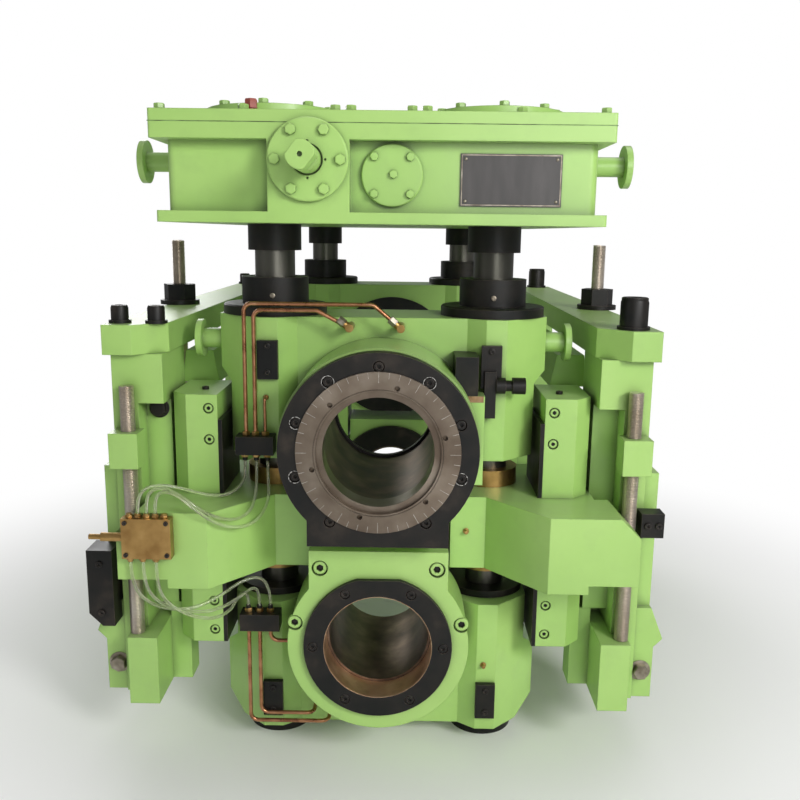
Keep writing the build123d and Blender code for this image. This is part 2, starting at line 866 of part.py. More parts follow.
def pipe(points):
    """Round tube along straight runs with rounded corners."""
    path = FilletPolyline(*points, radius=pipe_bend_r)
    start = Plane(origin=path @ 0, z_dir=path % 0)
    return sweep(start * Circle(pipe_r), path=path)


def upper_pipes():
    """Copper pipes from the upper block to the top of the chock face."""
    y = manifold_port_y
    z0 = upper_manifold_z + upper_manifold_height
    first_x = upper_manifold_x + upper_manifold_width / 4
    second_x = upper_manifold_x + upper_manifold_width / 2
    first_top = upper_chock_top_z + flange_height + 2 * pipe_r
    second_top = upper_chock_top_z + 4 * pipe_r
    first = pipe([
        (first_x, y, z0), (first_x, y, first_top), (-pipe_bend_r, y, first_top),
        (lever_thickness * 3, y, upper_chock_top_z - pipe_bend_r),
        (lever_thickness * 3, -recess_y, upper_chock_top_z - pipe_bend_r),
    ])
    second = pipe([
        (second_x, y, z0), (second_x, y, second_top), (-support_nut_r * 2, y, second_top),
        (-support_nut_r, y, upper_chock_top_z - pipe_bend_r),
        (-support_nut_r, -recess_y, upper_chock_top_z - pipe_bend_r),
    ])
    return [first, second]


def lower_pipes():
    """Copper pipes from the lower block: two to the foot of the chock, one to its round boss."""
    y = manifold_port_y
    drops = []
    for place, (low_z, end_x) in zip(port_places, lower_pipe_low_places):
        x = lower_manifold_x + place
        drops.append(pipe([
            (x, y, lower_manifold_z), (x, y, low_z), (end_x, y, low_z), (end_x, -recess_y, low_z),
        ]))
    last_x = lower_manifold_x + port_places[-1]
    rise_z = lower_axis_z - lower_pipe_rise
    boss_x = -(lower_boss_r ** 2 - (lower_pipe_rise - pipe_r) ** 2) ** 0.5
    drops.append(pipe([(last_x, y, lower_manifold_z), (last_x, y, rise_z), (boss_x, y, rise_z)]))
    return drops


# Supports, posts and side frames

def support():
    """Front right support: a bored block with a forward wing."""
    outline = [
        (support_inner_x, -support_front_y), (support_nose_x, -support_front_y),
        (support_wing_x, -wing_y), (support_outer_x, -wing_y),
        (support_outer_x, -column_front_y), (frame_inner_x, -column_front_y),
        (frame_inner_x, support_half_y - rod_y), (support_inner_x, support_half_y - rod_y),
    ]
    body = plan(outline, support_bottom_z, support_top_z)
    body -= block(
        support_step_x, support_outer_x + overrun, -wing_y - overrun, support_half_y - rod_y + overrun,
        support_bottom_z - overrun, support_bottom_z + support_step,
    )
    corner = [
        (support_outer_x - support_chamfer, support_top_z),
        (support_outer_x, support_top_z - support_chamfer), (support_outer_x, support_top_z),
    ]
    body -= front_view(corner, -wing_y - overrun, -column_front_y + overrun)
    relief_r = upper_boss_r + boss_relief
    body -= along_y(relief_r, -wing_y, support_half_y - rod_y + overrun, 0, upper_axis_z)
    body -= upright(
        rod_r + seat_gap, support_bottom_z - overrun, support_top_z + overrun, rod_x, -rod_y
    )
    return body - upright(
        clamp_r + screw_relief, support_bottom_z - overrun, support_top_z + overrun, clamp_x, -clamp_y
    )


def guide_post(z0, z1, web_z0, web_z1):
    """Front right post that guides a chock side, tied back to the column."""
    outline = [
        (post_inner_x, -support_front_y), (post_outer_x, -support_front_y),
        (post_outer_x + post_chamfer, post_chamfer - support_front_y),
        (post_outer_x + post_chamfer, -post_back_y), (post_inner_x, -post_back_y),
    ]
    post = plan(outline, z0, z1)
    web = block(post_outer_x, frame_inner_x, -post_back_y - web_depth, -post_back_y, web_z0, web_z1)
    return post + web


def beam_seat():
    """Plate that stands on the support, behind the post, and carries the end of a side beam."""
    back_y = support_half_y - rod_y
    low = block(post_outer_x, frame_inner_x, -post_back_y, back_y, support_top_z, web_top_z)
    high = block(
        post_outer_x, frame_inner_x, -beam_end_y - beam_seat_length, back_y, web_top_z, beam_bottom_z
    )
    return low + high


def guide_posts(frame):
    """Posts above and below the two right-hand supports, cut out round the frame's feet."""
    upper = guide_post(support_top_z, post_top_z, support_top_z, web_top_z) + beam_seat()
    lower = guide_post(post_bottom_z, support_bottom_z, rail_top_z, support_bottom_z)
    lower = (lower - frame).solids().sort_by(SortBy.VOLUME)[-1]
    return at_both_ends(upper, lower)


def guide_liners():
    """Black wear liners on the chock sides of the posts."""
    x0 = post_inner_x - liner_thickness
    upper = block(
        x0, post_inner_x, -support_front_y, -post_back_y, support_top_z, liner_top_z
    )
    lower = block(
        x0, post_inner_x, -support_front_y, -post_back_y,
        post_bottom_z, post_bottom_z + liner_height_lower,
    )
    return at_all_rods(upper) + at_all_rods(lower)


def foot_block_outline():
    """End view of the outer foot: a ridge above a plain foot."""
    tip_x = plate_outer_x + foot_block_reach
    return [
        (frame_outer_x, foot_z), (plate_outer_x + foot_block_reach / 3, foot_z),
        (plate_outer_x + foot_block_reach / 3, foot_block_under_z),
        (tip_x, foot_block_tip_z), (plate_outer_x, foot_block_top_z), (frame_outer_x, foot_block_top_z),
    ]


def side_frame():
    """Right-hand frame: two columns on feet, joined by a rail and an outer plate."""
    column = block(column_x, frame_outer_x, -column_front_y, -column_back_y, foot_z, head_bottom_z)
    inner = block(frame_inner_x, column_x, -column_recess_y, -column_back_y, rail_top_z, head_bottom_z)
    head = block(frame_inner_x, frame_outer_x, -column_front_y, -column_back_y, head_bottom_z, head_top_z)
    leg = block(leg_x, leg_x + leg_width, -leg_front_y, -leg_back_y, foot_z, leg_top_z)
    inner_foot = block(inner_foot_x, leg_x, -inner_foot_y, -leg_back_y, foot_z, rail_top_z)
    bracket = block(
        bracket_x, bracket_x + bracket_width, -leg_front_y, -column_front_y,
        bracket_bottom_z, bracket_top_z,
    )
    bracket -= upright(
        clamp_r + seat_gap, bracket_bottom_z - overrun, bracket_top_z + overrun, clamp_x, -clamp_y
    )
    foot = front_view(foot_block_outline(), -foot_block_front_y, -foot_block_back_y)
    plate = block(
        frame_outer_x, plate_outer_x, -plate_front_y, -column_back_y, foot_block_top_z, plate_top_z
    )
    end = column + inner + head + leg + inner_foot + bracket + foot + plate
    rail = block(inner_foot_x, frame_outer_x, -leg_back_y, leg_back_y, rail_bottom_z, rail_top_z)
    skirt = block(
        frame_outer_x, plate_outer_x, -foot_block_back_y, foot_block_back_y,
        foot_block_under_z, foot_block_top_z,
    )
    return end + end_to_end(end) + rail + skirt


def top_arm():
    """Right-hand arm across both columns, with cut front corners."""
    outline = [
        (arm_inner_x, arm_chamfer - arm_front_y), (arm_inner_x + arm_chamfer, -arm_front_y),
        (arm_outer_x, -arm_front_y), (arm_outer_x, arm_front_y),
        (arm_inner_x + arm_chamfer, arm_front_y), (arm_inner_x, arm_front_y - arm_chamfer),
    ]
    arm = plan(outline, head_top_z, arm_top_z)
    return arm - upright(
        hanger_r + seat_gap, head_top_z - overrun, arm_top_z + overrun, hanger_x, -hanger_y
    )


def arm_bolt(x, r, height):
    """Black bolt head on its washer, on top of an arm."""
    washer_z = arm_top_z + bolt_washer_height
    washer = upright(r + bolt_washer_reach, arm_top_z, washer_z, x, -arm_bolt_y)
    return washer + upright(r, washer_z, arm_top_z + height, x, -arm_bolt_y)


def arm_bolts():
    """Two smaller bolts on the left arm and one large bolt on the right, at both ends."""
    heads = [arm_bolt(-x, left_bolt_r, left_bolt_height) for x in left_bolt_x_places]
    heads += [arm_bolt(x, right_bolt_r, right_bolt_height) for x in right_bolt_x_places]
    return at_both_ends(*heads)


def clamp_screws():
    """Long threaded rods from the legs through the brackets."""
    return at_all_rods(upright(clamp_r, leg_top_z, clamp_top_z, clamp_x, -clamp_y))


def hanger_screws():
    """Threaded rods through the arms."""
    screw = upright(hanger_r, hanger_bottom_z, hanger_top_z, hanger_x, -hanger_y)
    return [screw, side_to_side(screw)]


def hanger_nuts():
    """Black nuts and washers on the hanger rods."""
    washer_z = arm_top_z + hanger_washer_height
    washer = upright(hanger_washer_r, arm_top_z, washer_z, hanger_x, -hanger_y)
    prism = extrude(RegularPolygon(hanger_nut_r, 6), hanger_nut_height)
    nut = washer + Pos(hanger_x, -hanger_y, washer_z) * prism
    nut -= upright(
        hanger_r + seat_gap, arm_top_z - overrun, washer_z + hanger_nut_height + overrun,
        hanger_x, -hanger_y,
    )
    return [nut, side_to_side(nut)]


def guide_beams():
    """Tapered beams between the column heads, one on each side."""
    outline = [
        (beam_inner_x, beam_bottom_z), (beam_outer_x, beam_bottom_z),
        (beam_top_outer_x, beam_top_z), (beam_top_inner_x, beam_top_z),
    ]
    beam = front_view(outline, -beam_end_y, beam_end_y)
    return [beam, side_to_side(beam)]


def side_clamp_blocks(left_frame):
    """Black blocks at the outer front edges of the frames."""
    outer_x = -frame_outer_x - left_block_reach
    outline = [
        (-frame_outer_x - left_block_inset, left_block_bottom_z),
        (outer_x + left_block_chamfer, left_block_bottom_z),
        (outer_x, left_block_bottom_z + left_block_chamfer),
        (outer_x, left_block_bottom_z + left_block_height),
        (-frame_outer_x - left_block_inset, left_block_bottom_z + left_block_height),
    ]
    left = front_view(outline, -plate_front_y - clamp_block_depth, -plate_front_y)
    left -= left_frame
    right_x = frame_outer_x - right_block_inset
    right = block(
        right_x, right_x + right_block_width, -column_front_y - right_block_depth, -column_front_y,
        right_block_bottom_z, right_block_bottom_z + right_block_height,
    )
    return [left, right]


# Grease distributor

def distributor_block():
    """Brass block on the face of the left wing, with ports above and below."""
    top_z = distributor_z + distributor_height
    y = -wing_y - distributor_thickness / 2
    body = block(
        distributor_x, distributor_x + distributor_width,
        -wing_y - distributor_thickness, -wing_y, distributor_z, top_z,
    )
    above = ports(distributor_x, y, top_z, top_z + feed_port_length, top_port_places)
    below = ports(distributor_x, y, distributor_z - feed_port_length, distributor_z, bottom_port_places)
    return body + above + below


def distributor_nozzle():
    """Inlet at the left side of the brass block."""
    y = -wing_y - distributor_thickness / 2
    tip_x = distributor_x - nozzle_length
    body = along_x(nozzle_r, tip_x, distributor_x, y, nozzle_z)
    return body + along_x(nozzle_tip_r, tip_x - nozzle_tip_length, tip_x, y, nozzle_z)


def hose(name, route):
    """Clear tube along straight runs, with each turn as wide as its two runs allow."""
    points = [Vector(*place) for place in route]
    edges = []
    radii = []
    run_start = points[0]
    for before, corner, after in zip(points, points[1:], points[2:]):
        into = corner - before
        out = after - corner
        cut = hose_bend_share * min(into.length, out.length)
        first = corner - into.normalized() * cut
        last = corner + out.normalized() * cut
        edges.append(Line(run_start, first))
        edges.append(TangentArc(first, last, tangent=into))
        radii.append(edges[-1].radius)
        run_start = last
    edges.append(Line(run_start, points[-1]))
    path = Wire(edges)
    section = Plane(origin=points[0], z_dir=points[1] - points[0]) * Circle(hose_r)
    tube = sweep(section, path=path)
    expected = section.area * path.length
    print(name, "length", round(path.length, 1), "volume share", round(tube.volume / expected, 4))
    print(name, "radii", [round(radius, 1) for radius in radii])
    return tube


def as_list(piece):
    """Every sub-part as a list of solids."""
    pieces = piece if isinstance(piece, list) else [piece]
    return [solid for item in pieces for solid in item.solids()]


front_upper_chock = upper_chock()
front_lower_chock = lower_chock()
right_support = support()
right_frame = side_frame()
right_posts = guide_posts(right_frame)
right_arm = top_arm()

parts = {
    "gearbox_case": gearbox_case(),
    "gearbox_cover": gearbox_cover(),
    "screw_caps": screw_caps(),
    "input_bearing_covers": input_bearing_covers(),
    "inspection_covers": inspection_covers(),
    "name_plate": name_plate(),
    "gearbox_trunnions": gearbox_trunnions(),
    "tie_rods": tie_rods(),
    "rod_collars": rod_collars(),
    "rod_end_nuts": rod_end_nuts(),
    "supports_right": at_both_ends(right_support),
    "supports_left": at_both_ends(side_to_side(right_support)),
    "support_nuts": support_nuts(),
    "guide_posts_right": right_posts,
    "guide_posts_left": [side_to_side(post) for post in right_posts],
    "guide_liners": guide_liners(),
    "side_frame_right": right_frame,
    "side_frame_left": side_to_side(right_frame),
    "top_arm_right": right_arm,
    "top_arm_left": side_to_side(right_arm),
    "arm_bolts": arm_bolts(),
    "clamp_screws": clamp_screws(),
    "hanger_screws": hanger_screws(),
    "hanger_nuts": hanger_nuts(),
    "guide_beams": guide_beams(),
    "side_clamp_blocks": side_clamp_blocks(side_to_side(right_frame)),
    "distributor_block": distributor_block(),
    "distributor_nozzle": distributor_nozzle(),
    "upper_chock_front": front_upper_chock,
    "upper_chock_rear": end_to_end(front_upper_chock),
    "upper_bearing_covers": upper_bearing_covers(),
    "graduated_rings": graduated_rings(),
    "upper_bearing_sleeves": upper_bearing_sleeves(),
    "upper_seal_rings": seal_rings(upper_seal_r, upper_axis_z, upper_lobe_bottom_z),
    "chock_flanges": chock_flanges(),
    "screw_nuts": screw_nuts(),
    "chock_trunnions": chock_trunnions(),
    "upper_keeper_plates": upper_keeper_plates(),
    "axial_lock": axial_lock(front_upper_chock),
    "axial_lock_lever": axial_lock_lever(),
    "upper_manifold": upper_manifold(),
    "upper_pipes": upper_pipes(),
    "lower_chock_front": front_lower_chock,
    "lower_chock_rear": end_to_end(front_lower_chock),
    "lower_bearing_covers": lower_bearing_covers(),
    "lower_rings": lower_rings(),
    "lower_bearing_sleeves": lower_bearing_sleeves(),
    "lower_seal_rings": seal_rings(lower_seal_r, lower_axis_z, lower_chock_bottom_z),
    "lower_discs": lower_discs(),
    "lower_keeper_plates": lower_keeper_plates(),
    "lower_manifold": lower_manifold(),
    "lower_pipes": lower_pipes(),
    "input_shaft": input_shaft(),
}
for name, route in hose_routes.items():
    parts[name] = hose(name, route)

os.makedirs("parts", exist_ok=True)
for name, piece in parts.items():
    solids = as_list(piece)
    shape = solids[0] if len(solids) == 1 else Compound(children=solids)
    export_step(shape, f"parts/{name}.step")
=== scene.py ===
from math import cos, pi, radians, sin

import bmesh
import bpy
from mathutils import Matrix, Vector


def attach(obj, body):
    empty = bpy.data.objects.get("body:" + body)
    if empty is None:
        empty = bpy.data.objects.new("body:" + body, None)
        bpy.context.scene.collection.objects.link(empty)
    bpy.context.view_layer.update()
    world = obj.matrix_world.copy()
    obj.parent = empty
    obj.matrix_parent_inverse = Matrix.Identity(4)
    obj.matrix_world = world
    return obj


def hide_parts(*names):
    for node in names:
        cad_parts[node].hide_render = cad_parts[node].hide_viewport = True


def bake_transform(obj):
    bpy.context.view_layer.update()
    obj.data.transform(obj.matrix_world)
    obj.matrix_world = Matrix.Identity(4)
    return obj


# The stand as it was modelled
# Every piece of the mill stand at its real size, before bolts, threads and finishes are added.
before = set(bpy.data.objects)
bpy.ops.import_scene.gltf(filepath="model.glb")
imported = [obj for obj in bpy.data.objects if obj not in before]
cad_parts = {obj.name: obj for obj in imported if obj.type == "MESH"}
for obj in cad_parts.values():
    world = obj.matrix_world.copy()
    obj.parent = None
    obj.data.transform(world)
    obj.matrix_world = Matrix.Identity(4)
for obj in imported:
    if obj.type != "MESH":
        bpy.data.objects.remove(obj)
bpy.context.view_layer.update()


# Camera
# The stand is seen from the end of the rolls, from a little above its middle.
# The lens leans down slightly, so the uprights run together towards the floor.
camera_place = Vector((0.0496, -2.283, 1.061))
camera_down = radians(11.05)
camera_right = radians(-0.474)
camera_tilt = radians(0.70)
camera_lens = 38.7

camera_turn = (
    Matrix.Rotation(-camera_right, 4, "Z")
    @ Matrix.Rotation(pi / 2 - camera_down, 4, "X")
    @ Matrix.Rotation(camera_tilt, 4, "Z")
)

def new_object(name, data):
    made = bpy.data.objects.new(name, data)
    bpy.context.collection.objects.link(made)
    return made


camera_data = bpy.data.cameras.new("camera")
camera_data.lens = camera_lens
camera_data.sensor_width = 36
camera = new_object("camera", camera_data)
camera.matrix_world = Matrix.Translation(camera_place) @ camera_turn
bpy.context.scene.camera = camera
bpy.context.scene.view_settings.view_transform = "Standard"


# Clear grease hoses
# Six clear plastic tubes bring grease from the brass distributor to the blocks on the chocks.
# They are pushed over short ports and hang slack, so that the chocks can rise and fall.
hose_r = 0.003
hose_sides = 14
hose_steps = 10
hose_routes = {
    "upper_hose_1": [
        (-0.437, -0.794, 0.554), (-0.437, -0.794, 0.580), (-0.424, -0.787, 0.600), (-0.396, -0.776, 0.603),
        (-0.362, -0.761, 0.592), (-0.330, -0.744, 0.576), (-0.302, -0.724, 0.566), (-0.279, -0.699, 0.568),
        (-0.264, -0.674, 0.584), (-0.264, -0.664, 0.606), (-0.264, -0.664, 0.622),
    ],
    "upper_hose_2": [
        (-0.421, -0.794, 0.554), (-0.421, -0.794, 0.580), (-0.408, -0.798, 0.601), (-0.382, -0.799, 0.604),
        (-0.351, -0.799, 0.586), (-0.322, -0.795, 0.561), (-0.294, -0.777, 0.540), (-0.266, -0.748, 0.528),
        (-0.245, -0.718, 0.536), (-0.238, -0.697, 0.564), (-0.242, -0.664, 0.594), (-0.242, -0.664, 0.622),
    ],
    "upper_hose_3": [
        (-0.405, -0.794, 0.554), (-0.405, -0.794, 0.580), (-0.390, -0.804, 0.600), (-0.362, -0.811, 0.597),
        (-0.335, -0.810, 0.574), (-0.308, -0.799, 0.546), (-0.278, -0.774, 0.522), (-0.248, -0.741, 0.513),
        (-0.226, -0.712, 0.524), (-0.214, -0.688, 0.554), (-0.220, -0.664, 0.592), (-0.220, -0.664, 0.622),
    ],
    "lower_hose_1": [
        (-0.454, -0.794, 0.462), (-0.454, -0.794, 0.428), (-0.440, -0.792, 0.390), (-0.404, -0.777, 0.361),
        (-0.356, -0.753, 0.349), (-0.310, -0.722, 0.362), (-0.272, -0.695, 0.384), (-0.238, -0.674, 0.387),
        (-0.220, -0.664, 0.356), (-0.220, -0.664, 0.321),
    ],
    "lower_hose_2": [
        (-0.431, -0.794, 0.462), (-0.431, -0.794, 0.432), (-0.422, -0.796, 0.399), (-0.394, -0.788, 0.370),
        (-0.352, -0.768, 0.350), (-0.310, -0.741, 0.343), (-0.276, -0.712, 0.354), (-0.252, -0.686, 0.368),
        (-0.242, -0.664, 0.352), (-0.242, -0.664, 0.321),
    ],
    "lower_hose_3": [
        (-0.407, -0.794, 0.462), (-0.407, -0.794, 0.434), (-0.401, -0.801, 0.404), (-0.382, -0.800, 0.377),
        (-0.348, -0.784, 0.350), (-0.314, -0.757, 0.332), (-0.290, -0.728, 0.334), (-0.281, -0.706, 0.346),
        (-0.276, -0.695, 0.353), (-0.271, -0.682, 0.354), (-0.267, -0.671, 0.347), (-0.264, -0.664, 0.335),
        (-0.264, -0.664, 0.321),
    ],
}


def add_node(tree, kind, inputs=None, **settings):
    node = tree.nodes.new(kind)
    for name, value in settings.items():
        setattr(node, name, value)
    for name, value in (inputs or {}).items():
        if isinstance(value, bpy.types.Node):
            value = value.outputs[0]
        if isinstance(value, bpy.types.NodeSocket):
            tree.links.new(value, node.inputs[name])
        else:
            node.inputs[name].default_value = value
    return node


def new_finish(name, **plain):
    finish = bpy.data.materials.new(name)
    finish.use_nodes = True
    shader = finish.node_tree.nodes["Principled BSDF"]
    for socket, value in plain.items():
        shader.inputs[socket.replace("_", " ")].default_value = value
    return finish, finish.node_tree, shader


def noise_on_piece(tree, scale, detail=3.0, stretch=(1, 1, 1)):
    place = add_node(tree, "ShaderNodeTexCoord")
    mapping = add_node(tree, "ShaderNodeMapping", {"Vector": place.outputs["Object"], "Scale": stretch})
    noise = add_node(tree, "ShaderNodeTexNoise", {
        "Vector": mapping, "Scale": scale, "Detail": detail,
    })
    return noise.outputs["Fac"]


def colours_along(tree, value, stops):
    ramp = add_node(tree, "ShaderNodeValToRGB", {"Fac": value})
    elements = ramp.color_ramp.elements
    for index, (place, colour) in enumerate(stops):
        stop = elements[index] if index < 2 else elements.new(place)
        stop.position = place
        stop.color = (*colour, 1)
    return ramp.outputs["Color"]


def tinted_finish(name, stops, scale, detail=3.0, stretch=(1, 1, 1), **plain):
    finish, tree, shader = new_finish(name, **plain)
    colour = colours_along(tree, noise_on_piece(tree, scale, detail, stretch), stops)
    tree.links.new(colour, shader.inputs["Base Color"])
    return finish


def line_along(route):
    curve = bpy.data.curves.new("hose_line", "CURVE")
    curve.dimensions = "3D"
    curve.resolution_u = hose_steps
    spline = curve.splines.new("NURBS")
    spline.points.add(len(route) - 1)
    for point, place in zip(spline.points, route):
        point.co = (*place, 1)
    spline.order_u = 3
    spline.use_endpoint_u = True
    holder = new_object("hose_line", curve)
    traced = bpy.data.meshes.new_from_object(holder)
    points = [vertex.co.copy() for vertex in traced.vertices]
    bpy.data.objects.remove(holder)
    bpy.data.meshes.remove(traced)
    return points


def finish_piece(name, shape, finish):
    bmesh.ops.recalc_face_normals(shape, faces=shape.faces)
    mesh = bpy.data.meshes.new(name)
    shape.to_mesh(mesh)
    shape.free()
    mesh.materials.append(finish)
    return new_object(name, mesh)


def add_tube(shape, points, r, sides):
    rings = []
    across = (points[1] - points[0]).orthogonal().normalized()
    for index, point in enumerate(points):
        before = points[max(index - 1, 0)]
        after = points[min(index + 1, len(points) - 1)]
        along = (after - before).normalized()
        across = (across - across.dot(along) * along).normalized()
        other = along.cross(across)
        turns = [2 * pi * side / sides for side in range(sides)]
        rings.append([
            shape.verts.new(point + r * (cos(turn) * across + sin(turn) * other)) for turn in turns
        ])
    for ring, next_ring in zip(rings, rings[1:]):
        for side in range(sides):
            wall = shape.faces.new((ring[side - 1], ring[side], next_ring[side], next_ring[side - 1]))
            wall.smooth = True
    shape.faces.new(rings[0])
    shape.faces.new(rings[-1])


hose_plastic = tinted_finish(
    "clear_hose", [(0.35, (0.74, 0.76, 0.55)), (0.70, (0.88, 0.90, 0.76))], 60.0,
    Roughness=0.12, IOR=1.40, Transmission_Weight=0.86,
)
for hose_name, hose_route in hose_routes.items():
    hose_line = line_along(hose_route)
    hose_shape = bmesh.new()
    add_tube(hose_shape, hose_line, hose_r, hose_sides)
    hose = finish_piece("clear_" + hose_name, hose_shape, hose_plastic)
    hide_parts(hose_name)
    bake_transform(hose)


# Floor and light
# A pale floor that fades to white away from the stand, which keeps its shadow on it.
# The main lamp stands at the right, with weaker ones round it. Each has a place, a width and a power.
floor_size = 40
floor_fade_from = 0.70
floor_fade_to = 1.9
sky_strength = 0.26
lamps = {
    "lamp_right": ((2.2, -3.3, 2.2), 0.9, 78),
    "lamp_front": ((1.0, -4.2, 1.6), 1.6, 32),
    "lamp_left": ((-3.2, -2.2, 2.2), 2.2, 8),
    "lamp_top": ((0.2, 0.4, 4.4), 2.8, 44),
    "lamp_back": ((-2.4, 4.2, 2.8), 2.2, 80),
}
lamp_target = Vector((0, -0.3, 0.65))

bpy.ops.mesh.primitive_plane_add(size=floor_size)
floor = bpy.context.object
floor.name = "floor"


def share_of(tree, size, share):
    return add_node(tree, "ShaderNodeMath", {0: size, 1: share}, operation="MULTIPLY").outputs["Value"]


floor_paint, floor_tree, floor_shader = new_finish(
    "pale_floor", Base_Color=(0.93, 0.92, 0.91, 1), Roughness=0.9,
)
floor_place = add_node(floor_tree, "ShaderNodeTexCoord")
floor_reach = add_node(
    floor_tree, "ShaderNodeVectorMath", {0: floor_place.outputs["Object"]}, operation="LENGTH",
)
floor_fade = add_node(floor_tree, "ShaderNodeMapRange", {
    "Value": floor_reach.outputs["Value"], "From Min": floor_fade_from, "From Max": floor_fade_to,
}, interpolation_type="SMOOTHSTEP")
floor_rays = add_node(floor_tree, "ShaderNodeLightPath")
floor_seen = share_of(floor_tree, floor_fade, floor_rays.outputs["Is Camera Ray"])
floor_white = add_node(floor_tree, "ShaderNodeEmission", {"Color": (1, 1, 1, 1), "Strength": 1.0})
floor_mix = add_node(floor_tree, "ShaderNodeMixShader", {
    0: floor_seen, 1: floor_shader, 2: floor_white,
})
floor_tree.links.new(floor_mix.outputs["Shader"], floor_tree.nodes["Material Output"].inputs["Surface"])
floor.data.materials.append(floor_paint)

world = bpy.data.worlds.new("studio")
bpy.context.scene.world = world
world.use_nodes = True
sky = world.node_tree
sky.nodes.clear()
sky_light = add_node(sky, "ShaderNodeBackground", {
    "Color": (0.95, 0.97, 1, 1), "Strength": sky_strength,
})
sky_white = add_node(sky, "ShaderNodeBackground", {"Color": (1, 1, 1, 1), "Strength": 1.0})
sky_rays = add_node(sky, "ShaderNodeLightPath")
sky_mix = add_node(sky, "ShaderNodeMixShader", {
    0: sky_rays.outputs["Is Camera Ray"],
    1: sky_light, 2: sky_white,
})
add_node(sky, "ShaderNodeOutputWorld", {"Surface": sky_mix})

for lamp_name, (lamp_place, lamp_size, lamp_power) in lamps.items():
    lamp_data = bpy.data.lights.new(lamp_name, "AREA")
    lamp_data.energy = lamp_power
    lamp_data.size = lamp_size
    lamp = new_object(lamp_name, lamp_data)
    lamp.location = lamp_place
    lamp.rotation_euler = (lamp_target - lamp.location).to_track_quat("-Z", "Y").to_euler()


# Tie rods
# Four turned steel rods carry the whole load of rolling between the gearbox and the lower nuts.
# They are left bare under a film of dark oil, with black steel nuts at the foot.
def bumps(tree, strength, depth, height, under=None):
    given = {"Strength": strength, "Distance": depth, "Height": height}
    if under is not None:
        given["Normal"] = under
    return add_node(tree, "ShaderNodeBump", given).outputs["Normal"]


def dress_shader(tree, shader, colour, shine, rough, skin):
    gloss = add_node(tree, "ShaderNodeMapRange", {"Value": shine, "To Min": rough[0], "To Max": rough[1]})
    tree.links.new(colour, shader.inputs["Base Color"])
    tree.links.new(gloss.outputs["Result"], shader.inputs["Roughness"])
    tree.links.new(skin, shader.inputs["Normal"])


def oiled_rod_steel():
    finish, tree, shader = new_finish("oiled_rod_steel", Metallic=0.85)
    film = noise_on_piece(tree, 6.0, 6.0, (1, 1, 0.35))
    colour = colours_along(tree, film, [
        (0.30, (0.080, 0.078, 0.064)), (0.55, (0.135, 0.130, 0.110)), (0.85, (0.220, 0.205, 0.175)),
    ])
    marks = noise_on_piece(tree, 900.0, 2.0, (0.02, 0.02, 1))
    dress_shader(tree, shader, colour, film, (0.24, 0.42), bumps(tree, 0.12, 0.0003, marks))
    return finish


def coat(finish, *names):
    for name in names:
        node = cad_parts[name]
        node.data.materials.clear()
        node.data.materials.append(finish)


coat(oiled_rod_steel(), "tie_rods")


# Black steel fittings
# Nuts, collars, covers, clamps and keeper plates are machined steel, blackened and oiled.
# Their edges have rubbed bright, and dried grease has left brown smudges.
def mixed(tree, share, first, second):
    mix = add_node(tree, "ShaderNodeMix", data_type="RGBA")
    for socket, value in ((mix.inputs[0], share), (mix.inputs[6], first), (mix.inputs[7], second)):
        if isinstance(value, bpy.types.NodeSocket):
            tree.links.new(value, socket)
        else:
            socket.default_value = value
    return mix.outputs[2]


def edge_normal(tree, reach):
    return add_node(tree, "ShaderNodeBevel", {"Radius": reach}, samples=4).outputs["Normal"]


def rise_between(tree, value, low, high, most):
    return add_node(tree, "ShaderNodeMapRange", {
        "Value": value, "From Min": low, "From Max": high, "To Max": most,
    }).outputs["Result"]


def edge_share(tree, rounded, strength, patches):
    plain = add_node(tree, "ShaderNodeNewGeometry")
    match = add_node(
        tree, "ShaderNodeVectorMath", {0: rounded, 1: plain.outputs["Normal"]}, operation="DOT_PRODUCT",
    )
    return share_of(tree, rise_between(tree, match.outputs["Value"], 0.995, 0.80, strength), patches)


def black_steel():
    finish, tree, shader = new_finish("black_steel", Metallic=0.05, Specular_IOR_Level=0.28)
    smudges = noise_on_piece(tree, 16.0, 7.0)
    colour = colours_along(tree, smudges, [
        (0.36, (0.006, 0.0065, 0.006)), (0.58, (0.014, 0.012, 0.010)), (0.82, (0.050, 0.038, 0.028)),
    ])
    rounded = edge_normal(tree, 0.0012)
    rubbed = edge_share(tree, rounded, 1.3, noise_on_piece(tree, 70.0, 4.0))
    colour = mixed(tree, rubbed, colour, (0.19, 0.145, 0.115, 1))
    skin = bumps(tree, 0.14, 0.0004, noise_on_piece(tree, 480.0, 3.0), rounded)
    dress_shader(tree, shader, colour, smudges, (0.28, 0.58), skin)
    return finish


black = black_steel()
coat(
    black, "rod_collars", "rod_end_nuts", "guide_liners", "arm_bolts", "hanger_nuts", "side_clamp_blocks",
    "upper_bearing_covers", "upper_seal_rings", "chock_flanges", "screw_nuts", "upper_keeper_plates",
    "axial_lock", "axial_lock_lever", "upper_manifold", "lower_rings", "lower_seal_rings",
    "lower_discs", "lower_keeper_plates", "lower_manifold",
)


# Green castings
# Chocks, frames, supports and the gearbox are cast and welded steel under one sprayed green enamel.
# The enamel has an orange-peel skin, settled dust on top, painted shade in its creases and rubbed edges.
# Painted shade: an occlusion mask that darkens the colour in creases and corners, where shade falls.
def painted_crease_shade(tree, reach, strength):
    hollow = add_node(tree, "ShaderNodeAmbientOcclusion", {"Distance": reach}, samples=6)
    return rise_between(tree, hollow.outputs["AO"], 0.85, 0.25, strength)


